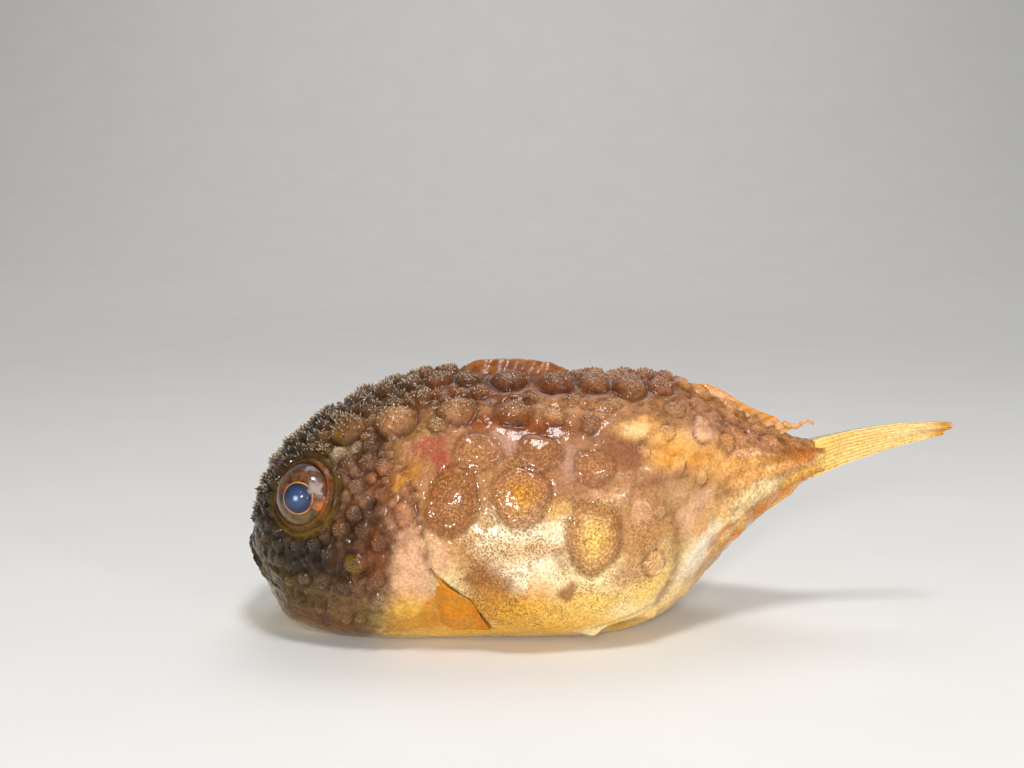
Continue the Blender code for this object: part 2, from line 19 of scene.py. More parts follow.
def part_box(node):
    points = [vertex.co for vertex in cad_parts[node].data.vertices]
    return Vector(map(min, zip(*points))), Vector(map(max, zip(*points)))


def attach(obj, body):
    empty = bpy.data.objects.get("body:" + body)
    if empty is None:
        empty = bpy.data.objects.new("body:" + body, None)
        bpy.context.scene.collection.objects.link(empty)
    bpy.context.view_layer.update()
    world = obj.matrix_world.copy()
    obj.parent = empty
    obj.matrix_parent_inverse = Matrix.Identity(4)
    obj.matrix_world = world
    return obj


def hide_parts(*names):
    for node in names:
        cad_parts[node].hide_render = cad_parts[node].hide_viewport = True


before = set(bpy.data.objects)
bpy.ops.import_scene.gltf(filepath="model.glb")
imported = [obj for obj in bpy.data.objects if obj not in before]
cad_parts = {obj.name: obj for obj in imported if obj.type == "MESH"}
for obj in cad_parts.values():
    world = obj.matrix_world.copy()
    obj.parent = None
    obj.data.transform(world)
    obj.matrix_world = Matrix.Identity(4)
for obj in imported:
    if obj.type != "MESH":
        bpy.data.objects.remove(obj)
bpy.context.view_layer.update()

MM = 0.001
LEFT, RIGHT = 1, -1
SEED = 11


def table(text):
    """A table's rows, which commas part. Spaces part the numbers and names of a row."""
    rows = [row.split() for row in text.split(",")]
    return [[cell if cell.isalpha() else float(cell) for cell in row] for row in rows]


# Body sections: x, height of the back, height of the belly, half width, height of the widest line.
SECTIONS = np.array(table("""
-20 5.6 4.2 0.9 4.85, -19.78 6.4 3.75 2.1 4.95, -19.38 7.65 2.9 3.05 5, -19.12 8.35 2.15 3.5 5.05,
-18.8 9.05 1.25 3.95 5.1, -17.9 10.2 0.2 4.8 5.25, -16.4 11.45 -0.4 5.75 5.4, -14.4 12.65 -0.75 6.5 5.4,
-12 13.55 -0.8 7 5.3, -9 14.1 -0.6 7.35 5.2, -6 14.2 -0.5 7.5 5.1, -3 14.1 -0.5 7.4 5.1,
0 14 -0.45 6.85 5.2, 2.2 13.92 0.05 6 5.5, 4 13.55 1 4.9 6.2, 6 12.7 2.95 3.5 7.4, 8.5 11.42 5.5 2.35 8.3,
10.8 10.56 7.5 1.35 9, 12.65 10.2 8.45 0.75 9.35
"""))
BACK_POWER, BELLY_POWER = 2.15, 2.5
SNOUT_X, TAIL_X = SECTIONS[0, 0], SECTIONS[-1, 0]
AROUND = 0.12  # millimetres of skin to a degree
FAR = 9.0  # a distance that stands for out of reach
FLOOR_SOFTNESS = 0.05

BED_X, BED_ANGLE = -8.4, -28.0
BED_LENGTH, BED_SPREAD, BED_DEPTH = 2.6, 25.0, 0.75

EYE_X, EYE_ANGLE, EYE_RADIUS, EYE_SUNK = -16.4, 27.5, 1.85, 0.8
EYE_TURN = np.array((0.27, 0.0, -0.24))  # the eye looks lower than its socket
EYE_CLEARING = 2.45  # no small tubercle grows this near the eye's middle

# x, height and droop at the corners of each lip and of the slit between them, and its radius.
LIP_CURVE, MOUTH_SPAN = 0.1, 3.2
UPPER_LIP = (-20.0, 4.66, 0.105, 0.28)
LOWER_LIP = (-19.7, 3.6, 0.095, 0.24)
MOUTH_SLIT = (-19.95, 4.14, 0.1, 0.14)

# Cushion-shaped tubercles of one side: x, angle, half length and half height.
CUSHIONS = table("""
-14.04 56 1.1 1.02, -11.52 54 1.16 1.05, -8.15 56 1 0.92, -5.1 55 0.94 0.85, -2.98 53 0.58 0.58,
-1.07 50 0.54 0.54, -9.2 49 0.46 0.44, -12.3 80 0.72 0.66, -10.8 79 0.66 0.64, -9.25 78 0.74 0.7,
-7.65 78 0.66 0.7, -5.37 77 1 0.96, -2.77 76 0.95 0.95, -0.63 78 0.88 1.02, 1.32 74 0.98 1,
3.05 76 0.7 0.66, -11.65 89 0.62 0.58, -10.1 89 0.66 0.6, -8.7 89 0.62 0.56, -1.5 89 0.46 0.42,
0.55 89 0.5 0.46, 2.3 88 0.56 0.5, 3.5 89 0.46 0.42, -9.95 66 0.52 0.5, -6.96 67 0.5 0.46,
-4.1 64 0.36 0.34, -1.9 63 0.38 0.36, 0.3 60 0.42 0.4, -11.95 33 0.48 0.46, -12.05 22 0.38 0.38,
-10.8 15 0.52 0.62, -12.1 5 0.52 0.5, -12.3 -7 0.46 0.44, -12.25 -17 0.42 0.4, 3.75 58 0.56 0.52,
3.25 44 0.42 0.42, 1.78 36 0.36 0.36, 3.7 28 0.48 0.5, 2.3 -5 0.62 0.66, 2.6 12 0.36 0.36,
4.35 86 0.46 0.44, 5.6 87 0.56 0.52, 7.15 87 0.5 0.46, 8.55 87 0.44 0.4, 9.8 86 0.36 0.34,
5.25 68 0.62 0.56, 5.3 46 0.62 0.8, 6.75 38 0.44 0.56, 7.1 68 0.56 0.44, 8.3 52 0.46 0.44,
9.55 50 0.4 0.36, 8.8 68 0.46 0.38, 5.1 18 0.42 0.42, -19.05 68 0.4 0.38, -18.6 79 0.42 0.4,
-17.75 80 0.46 0.44, -16.75 71 0.66 0.62, -15.95 82 0.52 0.5, -14.75 68 0.44 0.42, -13.8 81 0.66 0.6,
-15.25 48 0.42 0.4, -13.9 38 0.46 0.44, -12.8 36 0.5 0.48, -13.4 26 0.42 0.42, -13.5 15 0.42 0.42,
-14.2 9 0.5 0.5, -12.95 9 0.5 0.52, -13.45 -2 0.64 0.6, -14.9 0 0.42 0.42, -15.7 3 0.42 0.42,
-16.65 2 0.38 0.38, -17.75 -4 0.44 0.42, -18.6 7 0.34 0.34, -19.3 34 0.38 0.38, -18.85 48 0.38 0.38,
-17.15 -14 0.4 0.4, -16.3 -11 0.42 0.42, -15.3 -11 0.52 0.5, -14.05 -12 0.48 0.46, -13.3 -13 0.4 0.4,
-16.65 -24 0.42 0.42, -15.5 -28 0.38 0.38, -14.7 -22 0.38 0.36, -13.3 -31 0.36 0.34, -14.05 -33 0.34 0.32
""")
# Bony plates of one side: x, angle, half length, half height, lean and the colours of rim and heart.
PLATES = table("""
-8.3 19 1.3 1.86 -16 sienna mauve, -4.76 21 1.46 1.54 0 mauve honey, -0.95 7 1.42 1.84 4 fawn straw,
-7.05 37 1.26 1.06 8 mauve fawn, -3.8 37 1.2 1.02 0 mauve fawn, -0.89 31 1.08 0.95 0 mauve fawn
""")
# Small tubercles, strewn: x from and to, angle from and to, how many, radius from and to.
STREWN = table("""
-19.7 -12.6 42 89 130 0.22 0.42, -19 -12 0 42 90 0.13 0.4, -16.8 -12.4 -30 0 22 0.13 0.28,
-12.6 -8 60 89 50 0.14 0.3, -12.2 -9.6 2 48 46 0.12 0.26, -9.6 -5 44 60 16 0.1 0.18,
-2 3.6 40 80 24 0.1 0.2, -1 3.8 -36 30 36 0.1 0.2, -2.4 4.2 80 89 30 0.16 0.34, 3.8 11.8 50 84 40 0.1 0.22
""")

# Creases: points as x and angle, depth and half width.
CREASES = (
    (((-9.45, -2.5), (-8.45, -10.5), (-7.35, -20.0), (-6.7, -29.0), (-6.3, -40.0)), 0.26, 0.09),
    (((-11.5, 6.0), (-11.65, -8.0), (-11.6, -24.0), (-11.9, -40.0)), 0.07, 0.35),
    (((-10.9, 31.0), (-10.3, 22.0), (-9.95, 10.0), (-9.6, -1.0)), 0.1, 0.2),
    (((-0.9, -42.0), (0.4, -36.0), (2.2, -31.0)), 0.08, 0.14),
    (((1.2, 23.0), (2.6, 23.0), (4.3, 21.0)), 0.06, 0.14),
    (((-6.2, 49.0), (-3.4, 46.5), (0.6, 44.0), (3.2, 36.0)), 0.04, 0.3),
    (((-9.1, 64.0), (-6.4, 63.0), (-3.4, 60.0), (0.2, 56.0)), 0.05, 0.3),
    (((3.4, 8.0), (3.9, -6.0), (3.4, -20.0), (2.6, -34.0)), 0.1, 0.4),
    (((-15.2, -6.0), (-13.4, -8.0), (-12.2, -1.5)), 0.08, 0.15),
    (((-18.4, -9.0), (-17.2, -9.5), (-15.9, -5.5)), 0.08, 0.16),
    (((-19.2, -26.0), (-18.5, -24.0), (-17.9, -22.0)), 0.12, 0.12),
)
# Swellings and hollows: x, angle, half length, half height and rise.
SWELLINGS = table("""
-10.7 -24 0.95 2.3 0.28, -8.6 0 0.9 0.7 0.2, -5.2 -20 3 2.2 0.2, -4.6 6 2.2 0.5 0.14, 1.2 -14 1.9 1.9 0.16,
5.2 -14 1.2 1.5 0.12, -14.9 42 1.4 0.8 0.12, 3.4 90 2.4 1.3 0.28, 6.4 90 2.4 0.8 0.32, 9 90 2 0.6 0.26,
-0.8 -47 0.5 0.6 0.3, 0.75 -52 1 1 -0.4, 2.3 -42 0.4 0.5 0.22, -18.8 -38 0.8 3.2 -0.26,
-9.2 90 1.7 1.2 0.24
""")

PALETTE = {name: light for name, *light in table("""
soot 34 22 6, olive 82 62 4, moss 118 90 18, umber 82 52 28, bark 106 66 22, earth 136 96 66,
rust 142 76 26, brick 122 70 38, crimson 160 76 58, sienna 156 98 54, fawn 178 130 86, rose 192 142 112,
blush 228 180 142, tan 188 134 84, honey 200 140 44, amber 220 140 14, orange 206 118 4,
apricot 240 182 108, gold 234 184 66, straw 244 206 118, cream 248 226 174, pearl 255 244 218,
plum 132 78 52, ash 164 146 118, mauve 168 118 86, lilac 188 150 134, frost 186 166 150
""")}

# Washes of colour, laid one over another: colour, x, angle, half length, half height, strength.
# The gold and amber washes along the lowest belly are partly its own yellow and partly painted warm
# reflected light.
# The pearl washes on the flank are partly the skin's own silvery white and partly a painted highlight.
WASHES = table("""
gold -4 -52 10 2.8 0.85, bark -9 82 8 3.4 1, brick -3 78 7 2.8 0.75, mauve -2.5 44 7 1.9 0.8,
rust -5 67 6 1 0.55, umber -6.5 75 2.6 0.8 0.5, rust -6.2 50 1.6 0.5 0.85, rust -3.9 49 1.4 0.4 0.6,
tan -1.9 57 2.6 0.8 0.7, plum 0.9 36 1.7 1 0.6, mauve 1.6 22 1.4 0.9 0.6, fawn 1.4 14 1.8 1.2 0.8,
tan 1 5 1.9 0.9 0.7, blush -0.7 22 0.6 0.45 0.8, tan 1.4 -5 1.6 0.9 0.6, blush 1.6 14 0.8 0.7 0.6,
straw 2 -17 1.6 1 0.8, rust 3.1 -26 0.6 0.7 0.4, mauve 1.6 88 2.4 1.6 0.8, plum 2.4 82 2.2 1 0.5,
plum 2.9 72 0.8 0.7 0.9, apricot 1.7 47 1.3 0.7 0.9, cream 1.6 46 0.9 0.45 0.5, apricot 4 35 1.9 1.2 0.95,
amber 3.2 33 0.6 0.5 0.5, amber 4.9 27 0.8 0.5 0.6, blush 5.2 42 1.2 0.7 0.6, mauve 5.3 66 1.8 0.9 0.8,
rose 6.4 54 2.2 0.8 0.7, mauve 8 56 2.2 0.8 0.9, lilac 5.6 47 1 0.9 0.4, rose 8.8 42 1.5 0.7 0.7,
plum 9.6 62 1.5 0.5 0.5, sienna 10.6 36 1.2 0.8 0.6, apricot 6.9 22 2.2 1.1 0.9, blush 8.2 29 1.4 0.6 0.8,
honey 9.8 22 1.4 0.6 0.6, apricot 8.8 8 2.4 0.9 0.9, cream 7.8 -10 2.4 1.2 0.9, orange 11.5 20 0.9 1.8 0.6,
rust 11 34 1.3 2.2 0.35, amber 10 -44 3.6 1.9 0.95, amber 6.7 -19 0.5 0.6 0.5, straw 7 -32 1.4 0.8 0.6,
gold 11.2 -18 1.4 1.2 0.8, straw 12.6 0 0.45 4 0.85, blush 4.6 6 1.3 0.9 0.8, apricot 5.9 -6 1.4 0.9 0.6,
blush 5.8 -24 1.8 0.9 0.8, pearl 5.1 -18 1 1.4 0.9, amber 6.7 -19 0.34 0.34 0.8, honey 3.4 -1 0.7 1.6 0.5,
fawn -7 26 2.2 1.2 0.8, lilac -5.45 40 0.8 0.9 0.75, rust -4.2 48 3.2 0.55 0.8, mauve -2.7 24 1.4 1 0.7,
lilac -2.3 33 0.7 0.9 0.6, cream -2.6 12 1.8 1 0.7, honey -2.8 17 0.9 0.6 0.5, pearl -4.8 8 2.4 1 0.9,
pearl -4.2 -1 2.4 0.8 0.95, cream -1.4 -4 1.8 0.9 0.8, honey -4.4 4 2.2 0.35 0.5, tan -7.9 1 1 0.9 0.6,
sienna -6.4 -6 1.2 0.9 0.75, rust -6.6 -8 0.9 0.7 0.5, honey -5.6 -20 2.4 1.5 0.95,
gold -3.2 -25 3.2 1.6 0.75, apricot -3.8 -11 0.9 0.9 0.6, rust -2.3 -11 0.5 0.8 0.75,
rust -2.6 3 0.6 0.5 0.5, straw -0.9 -19 1.4 1 0.85, gold -4.3 -42 4.5 1.2 0.8, cream -0.7 -46 1.3 0.9 0.9,
blush -9 2 0.7 0.8 0.9, cream -8.4 -5 0.6 0.4 0.8, amber -9.4 -26 0.8 1.8 0.8, bark -13.6 10 3 5.2 0.96,
umber -14.4 20 2.9 5 0.9, earth -12.7 30 1.6 1.1 0.7, soot -18.2 30 3.4 9.5 0.96,
soot -16.2 84 4.6 2.9 0.92, umber -12.4 78 2.6 2 0.7, bark -14 56 1.2 1.1 0.6, olive -17.6 -24 2.6 2.2 0.9,
bark -15.4 -46 3.6 1.6 0.9, bark -14.9 -32 2.6 1.7 0.85, moss -12.7 -30 1.1 1.3 0.6,
olive -16.2 -22 1.4 0.8 0.6, soot -15.9 -1 1.5 0.9 0.85, earth -13 -9 1.1 0.8 0.6,
rust -12.3 0 0.9 1.1 0.45, earth -13.3 22 0.7 0.6 0.7, bark -14.2 14 1 1 0.5, rust -12.1 27 0.7 0.6 0.5,
sienna -10.8 25 1.2 1.3 0.7, honey -10.7 28 0.7 0.6 0.6, sienna -10.9 14 0.9 0.7 0.5,
mauve -10.9 14 0.9 1.1 0.7, rose -10.3 5 0.8 0.9 0.6, blush -10.5 -6 1.1 1.5 0.95,
apricot -10.9 -17 1.1 1 0.6, gold -10.7 -29 1.4 1.8 0.85, honey -10.4 -34 1.6 1.2 0.8,
moss -13.6 -3 0.5 0.4 0.9, moss -14.6 47 0.9 0.35 0.6, ash -13.9 43 1.1 0.3 0.9, moss -9.8 48 0.9 0.5 0.6,
crimson -9.35 38 0.95 0.75 0.7, crimson -8.85 30 0.5 0.9 0.8, honey -9.3 -27 0.8 1.5 0.7,
umber -12.7 41 0.9 0.5 0.6, olive -19.3 2 0.9 0.5 0.75
""")
# Where the belly's fine dark dots lie: x, angle, half length, half height, strength.
FRECKLED = table("""
-5.6 6 3.6 2 1, -6 -12 2.8 2.4 1, -4.8 -26 3 1.7 0.9, -1.8 8 2.8 2.2 1, -0.8 -14 2.4 2 0.8,
1.6 0 2 2.6 0.8, 8.4 8 3.4 2.2 0.5, -8.3 19 1.4 1.9 0.9, -4.8 21 2 2 1, -0.9 10 1.6 2 1,
-3.8 36 1.4 1.2 0.6, -7 36 1.4 1.2 0.6
""")


def smooth(edge, other, value):
    """0 at edge and 1 at other, with an even slope at both."""
    t = np.clip((value - edge) / (other - edge), 0, 1)
    return t * t * (3 - 2 * t)


def hump(offset, width):
    return np.exp(-((offset / width) ** 2))


def between(first, last, t):
    return first + (last - first) * t


def linear(name):
    """A palette colour as linear light."""
    share = np.array(PALETTE[name], float) / 255
    return np.where(share < 0.04045, share / 12.92, ((share + 0.055) / 1.055) ** 2.4)


def lay(colour, over, share):
    """Lays a palette colour, or one worked out, over another as strongly as share says."""
    over = linear(over) if isinstance(over, str) else over
    return between(colour, over, share[:, None])


def at_least(values, near, least):
    values[near] = np.maximum(values[near], least)


def section_slopes():
    count = len(SECTIONS)
    before = SECTIONS[np.maximum(np.arange(count) - 1, 0)]
    after = SECTIONS[np.minimum(np.arange(count) + 1, count - 1)]
    return (after - before) / (after[:, :1] - before[:, :1])


SLOPES = section_slopes()


def measures(x):
    """Back, belly, half width and widest line at each x, on a smooth curve through the sections."""
    x = np.clip(np.asarray(x, float), SNOUT_X, TAIL_X)
    k = np.clip(np.searchsorted(SECTIONS[:, 0], x) - 1, 0, len(SECTIONS) - 2)
    first, second = SECTIONS[k], SECTIONS[k + 1]
    span = second[:, :1] - first[:, :1]
    t = (x[:, None] - first[:, :1]) / span
    blend = (
        (2 * t**3 - 3 * t**2 + 1) * first
        + (t**3 - 2 * t**2 + t) * span * SLOPES[k]
        + (3 * t**2 - 2 * t**3) * second
        + (t**3 - t**2) * span * SLOPES[k + 1]
    )
    return blend[:, 1:].T


def back_height(x):
    return float(measures([x])[0][0])


def belly_height(x):
    return float(measures([x])[1][0])


def flesh(x, angle, side):
    """Points of the smooth body under the relief."""
    x, angle, side = np.broadcast_arrays(*(np.asarray(v, float) for v in (x, angle, side)))
    back, belly, half, widest = measures(x)
    across, up = np.cos(np.radians(angle)), np.sin(np.radians(angle))
    bed = BED_DEPTH * np.exp(-((x - BED_X) / BED_LENGTH) ** 4 - ((angle - BED_ANGLE) / BED_SPREAD) ** 4)
    power = np.where(up >= 0, BACK_POWER, BELLY_POWER)
    reach = np.where(up >= 0, back - widest, widest - belly)
    y = (half - bed) * np.maximum(across, 0) ** (2 / power)
    z = widest + reach * np.copysign(np.abs(up) ** (2 / power), up)
    z = FLOOR_SOFTNESS * np.logaddexp(0, z / FLOOR_SOFTNESS)
    return np.stack([x, -y * side, z], axis=1)


def outward(x, angle, side):
    """Directions straight out of the smooth body."""
    x, angle = np.atleast_1d(x).astype(float), np.atleast_1d(angle).astype(float)
    along = flesh(x + 0.12, angle, side) - flesh(x - 0.12, angle, side)
    up = flesh(x, np.minimum(angle + 2, 89), side) - flesh(x, np.maximum(angle - 2, -89), side)
    normal = np.cross(along, up)
    normal /= np.linalg.norm(normal, axis=1, keepdims=True)
    flip = np.where(normal[:, 1] * side < 0, 1, -1)
    return normal * flip[:, None]


def eye_pose(side):
    """Where the eye's socket meets the skin, the way the socket faces and the way the eye looks."""
    middle, axis = flesh([EYE_X], [EYE_ANGLE], side)[0], outward(EYE_X, EYE_ANGLE, side)[0]
    gaze = axis + EYE_TURN
    return middle, axis, gaze / np.linalg.norm(gaze)


def ripples(points, size, seed=0.0):
    """Smooth noise from -1 to 1, with lumps about size millimetres across."""
    scale = 1 / size
    return np.array([noise.noise((x * scale + seed, y * scale, z * scale)) for x, y, z in points])


def to_line(points, line):
    """How far each point is from a broken line, in two or three dimensions."""
    nearest = np.full(len(points), 1e9)
    for first, second in zip(line, line[1:]):
        first, second = np.asarray(first, float), np.asarray(second, float)
        step = second - first
        t = np.clip((points - first) @ step / (step @ step), 0, 1)
        gap = np.linalg.norm(points - first - t[:, None] * step, axis=1)
        nearest = np.minimum(nearest, gap)
    return nearest


def mouth_line(lip):
    """The curve of a lip or of the slit, from corner to corner."""
    x, height, droop, _ = lip
    shares = np.linspace(-MOUTH_SPAN, MOUTH_SPAN, 25)
    return [(x + LIP_CURVE * y * y, y, height - droop * y * y) for y in shares]


def row_places():
    """The x of every ring of the skin, closest together on the head."""
    fine = np.linspace(SNOUT_X, TAIL_X, 4000)
    back, _, half, _ = measures(fine)
    turn = (np.abs(np.gradient(back, fine)) + np.abs(np.gradient(half, fine))) / 2
    spacing = np.interp(fine, (-20, -13, -11, 3, 6, 12.65), (0.078, 0.085, 0.13, 0.13, 0.19, 0.19))
    steps = np.sqrt(1 + turn**2) / spacing
    total = np.concatenate([[0], np.cumsum((steps[1:] + steps[:-1]) / 2 * np.diff(fine))])
    return np.interp(np.arange(int(total[-1]) + 1) / int(total[-1]) * total[-1], total, fine)


def column_places():
    """The angle and side of every column of the skin, all the way round from the belly."""
    angles = np.concatenate([np.linspace(-90, -58, 9)[:-1], np.linspace(-58, 90, 142)])
    around = np.concatenate([angles, angles[-2:0:-1]])
    sides = np.concatenate([np.full(len(angles), LEFT), np.full(len(angles) - 2, RIGHT)])
    return around, sides


class Skin:
    """The skin as a closed grid of rings: places on the body, points, normals and relief."""

    def __init__(self):
        x = row_places()
        angles, sides = column_places()
        self.columns = len(angles)
        caps = np.linspace(0.1, 0.9, 9)
        rows = np.concatenate([np.full(len(caps), SNOUT_X), x, np.full(len(caps), TAIL_X)])
        shrink = np.concatenate([caps, np.ones(len(x)), caps[::-1]])
        self.rows = len(rows)
        self.x = np.repeat(rows, self.columns)
        self.angle = np.tile(angles, self.rows)
        self.side = np.tile(sides, self.rows)
        points = flesh(self.x, self.angle, self.side).reshape(self.rows, self.columns, 3)
        middle = points.mean(axis=1, keepdims=True)
        points = middle + (points - middle) * shrink[:, None, None]
        bulge = 1 - shrink**2
        ends = np.where(rows < 0, -0.13, 0.16)
        points[:, :, 0] += (bulge * ends)[:, None]
        self.points = points.reshape(-1, 3)
        self.normals = self.grid_normals(points)
        self.flat = np.stack([self.x, self.angle * AROUND], axis=1)
        self.tree = KDTree(len(self.points))
        for index, point in enumerate(self.points):
            self.tree.insert(point, index)
        self.tree.balance()

    def grid_normals(self, points):
        along = np.gradient(points, axis=0)
        around = np.roll(points, -1, axis=1) - np.roll(points, 1, axis=1)
        normals = np.cross(along, around)
        normals /= np.linalg.norm(normals, axis=2, keepdims=True) + 1e-12
        middle = points.mean(axis=(0, 1))
        outside = np.sum(normals * (points - middle), axis=2).mean() > 0
        return (normals if outside else -normals).reshape(-1, 3)

    def near(self, centre, reach):
        """Which vertices lie within reach of a point."""
        return np.array([index for _, index, _ in self.tree.find_range(centre, reach)], int)

    def averaged(self, values, passes):
        """Values evened out over their neighbours on the grid."""
        grid = values.reshape(self.rows, self.columns)
        for _ in range(passes):
            padded = np.pad(grid, ((1, 1), (0, 0)), mode="edge")
            grid = (padded[:-2] + 2 * grid + padded[2:]) / 4
            grid = (np.roll(grid, 1, axis=1) + 2 * grid + np.roll(grid, -1, axis=1)) / 4
        return grid.ravel()

    def patch(self, rows, size=1.35, inner=0.5):
        """How strongly each vertex lies in any of the patches of a table."""
        share = np.zeros(len(self.points))
        for x, angle, length, height, strength in rows:
            a, b = (self.drifted[:, 0] - x) / length, (self.drifted[:, 1] - angle * AROUND) / height
            share = np.maximum(share, strength * smooth(size, inner, np.hypot(a, b)))
        return share


class Tubercle:
    """A tubercle or plate: its place, its size, and the way it stands out of the skin."""

    def __init__(self, x, angle, side, length, height, form, draw, lean=0.0):
        self.x, self.angle, self.side, self.form = x, angle, side, form
        self.length, self.height, self.size = length, height, min(length, height)
        self.centre, self.normal = flesh([x], [angle], side)[0], outward(x, angle, side)[0]
        along = np.array([1.0, 0.0, 0.0]) - self.normal * self.normal[0]
        along /= np.linalg.norm(along)
        up = np.cross(self.normal, along) * side
        turn = math.radians(lean)
        self.along = along * math.cos(turn) + up * math.sin(turn)
        self.up = up * math.cos(turn) - along * math.sin(turn)
        self.spin = draw.uniform(0, math.tau)
        self.shade = draw.uniform(0.78, 1.24)
        self.bold = float(between(1.0, 0.6, max(smooth(2.8, 4.8, x), smooth(6, -10, angle))))

    def polar(self, points):
        """Distance from the middle as a share of the size, and the angle, for each point."""
        offset = points - self.centre
        a, b = offset @ self.along / self.length, offset @ self.up / self.height
        out, spin = np.hypot(a, b), np.arctan2(b, a) + self.spin
        return out * (1 + 0.05 * np.sin(3 * spin) + 0.03 * np.sin(5 * spin + 1.3)), spin


def cushion_relief(out, spin, size):
    """Rise and ditch of a cushion-shaped tubercle with two rings of knobs."""
    rise = 0.54 * size**0.85 * np.clip(1 - out**2.2, 0, 1) ** 0.65
    knobs = np.cos(9 * spin) * hump(out - 0.66, 0.16) + np.cos(5 * spin + 2) * hump(out - 0.32, 0.14)
    return rise + 0.04 * size * knobs, -0.14 * size**0.8 * hump(out - 1.09, 0.16)


def pimple_relief(out, _, size):
    rise = 0.5 * size**0.85 * np.clip(1 - out**2, 0, 1) ** 0.85
    return rise, -0.17 * size * hump(out - 1.15, 0.17)


def plate_relief(out, spin, _):
    """Rise and ditch of a low shield with a raised border."""
    rise = 0.13 * np.clip(1 - out**4, 0, 1) + 0.045 * hump(out - 0.84, 0.1)
    rise += 0.05 * hump(out, 0.4) + 0.016 * np.cos(14 * spin) * hump(out - 0.6, 0.3)
    return rise, -0.05 * hump(out - 1.06, 0.1)


PLACING_TRIES = 14
RELIEFS = {"cushion": cushion_relief, "pimple": pimple_relief, "plate": plate_relief}


def all_tubercles(draw):
    """Every tubercle of both sides. The right side differs a little from the left."""
    found = []
    for side in (LEFT, RIGHT):
        drift = 0.0 if side == LEFT else 0.1
        placed = []
        for x, angle, length, height in CUSHIONS:
            x, angle = x + draw.uniform(-drift, drift), angle + draw.uniform(-drift, drift) * 8
            placed.append(Tubercle(x, angle, side, length, height, "cushion", draw))
        for x, angle, length, height, lean, _, _ in PLATES:
            placed.append(Tubercle(x, angle, side, length, height, "plate", draw, lean))
        strew(placed, side, draw)
        found += placed
    return found


def strew(placed, side, draw):
    """Fills the gaps between the large tubercles with small ones, the larger first."""
    crowd = [t.centre for t in placed] + [eye_pose(side)[0]]
    sizes = [max(t.length, t.height) for t in placed] + [EYE_CLEARING]
    for x0, x1, a0, a1, count, small, large in STREWN:
        radii = [between(small, large, draw.random() ** 1.4) for _ in range(int(count))]
        for radius in sorted(radii, reverse=True):
            for _ in range(PLACING_TRIES):
                x, angle = draw.uniform(x0, x1), draw.uniform(a0, a1)
                centre = flesh([x], [angle], side)[0]
                gaps = np.linalg.norm(np.array(crowd) - centre, axis=1)
                if bristly(x, angle) and np.all(gaps > (np.array(sizes) + radius) * 0.9):
                    crowd.append(centre)
                    sizes.append(radius)
                    shape = radius * draw.uniform(0.85, 1.3), radius * draw.uniform(0.85, 1.15)
                    placed.append(Tubercle(x, angle, side, *shape, "pimple", draw, draw.uniform(-60, 60)))
                    break


def bristly(x, angle):
    """Whether small tubercles grow here: not on the lips, the pectoral base or the fins' roots."""
    lips = x < -19.25 and angle < 16 or x < -17.2 and angle < -8
    base = -11.8 < x < -6 and angle < 2
    crest = angle > 82 and -7.9 < x < -2.1
    return not (lips or base or crest)


def raise_tubercles(skin, tubercles):
    """Relief of the tubercles and the ditches round them, and where plates and crowns lie."""
    count = len(skin.points)
    bump, ditch, skin.plate, skin.crown, skin.seam = (np.zeros(count) for _ in range(5))
    skin.shade, skin.ring, skin.plate_colour = np.ones(count), np.full(count, 3.0), np.zeros((count, 3))
    plate_colours = {(row[0], row[1]): row[5:] for row in PLATES}
    for t in tubercles:
        near = skin.near(t.centre, max(t.length, t.height) * 1.6)
        near = near[skin.normals[near] @ t.normal > 0.2]
        if not len(near):
            continue
        out, spin = t.polar(skin.points[near])
        rise, sink = RELIEFS[t.form](out, spin, t.size)
        at_least(bump, near, rise * t.bold)
        ditch[near] = np.minimum(ditch[near], sink)
        skin.shade[near] = between(skin.shade[near], t.shade, smooth(1.05, 0.75, out))
        if t.form != "plate":
            at_least(skin.crown, near, smooth(1.0, 0.5, out) * t.bold**2)
        else:
            skin.ring[near] = np.minimum(skin.ring[near], out * t.size)
            at_least(skin.seam, near, hump(out - 1.04, 0.07))
            at_least(skin.plate, near, smooth(1.08, 0.94, out))
            rim, heart = plate_colours[(t.x, t.angle)]
            tint = lay(linear(heart), rim, smooth(0.15, 0.85, out))
            skin.plate_colour[near] = np.where(out[:, None] < 1.2, tint, skin.plate_colour[near])
    return bump, ditch


def raise_mouth(skin):
    """Relief of the lips, and how much of the slit and of the lips lies at each vertex."""
    relief, slit, lips = (np.zeros(len(skin.points)) for _ in range(3))
    near = np.flatnonzero(skin.x < -17.6)
    points = skin.points[near]
    taper = smooth(MOUTH_SPAN + 0.45, MOUTH_SPAN - 0.7, np.abs(points[:, 1]))
    for lip in (UPPER_LIP, LOWER_LIP):
        gap = to_line(points, mouth_line(lip))
        tube = np.sqrt(np.clip(lip[3] ** 2 - gap**2, 0, None)) * taper
        at_least(relief, near, tube)
        at_least(lips, near, smooth(lip[3] * 1.3, lip[3] * 0.6, gap) * taper)
    gap = to_line(points, mouth_line(MOUTH_SLIT))
    slit[near] = hump(gap, MOUTH_SLIT[3]) * taper
    return relief, slit, lips


def raise_orbit(skin, side):
    """Relief of the socket's rim and folds, and how far each vertex is from the eye's axis."""
    middle, axis, _ = eye_pose(side)
    offset = skin.points - middle
    height = offset @ axis
    out = np.linalg.norm(offset - height[:, None] * axis, axis=1)
    out = np.where((height > -2.5) & (skin.normals @ axis > -0.2), out, FAR)
    wobble = out + 0.06 * ripples(skin.points, 1.4, 5.0)
    relief = -1.15 * smooth(1.6, 1.5, out) + 0.24 * hump(wobble - 1.73, 0.14) * (out > 1.4)
    relief += 0.14 * hump(wobble - 2.14, 0.13) + 0.05 * hump(wobble - 2.55, 0.12)
    relief -= 0.08 * hump(wobble - 1.95, 0.08) + 0.1 * hump(wobble - 2.36, 0.1)
    return relief, out


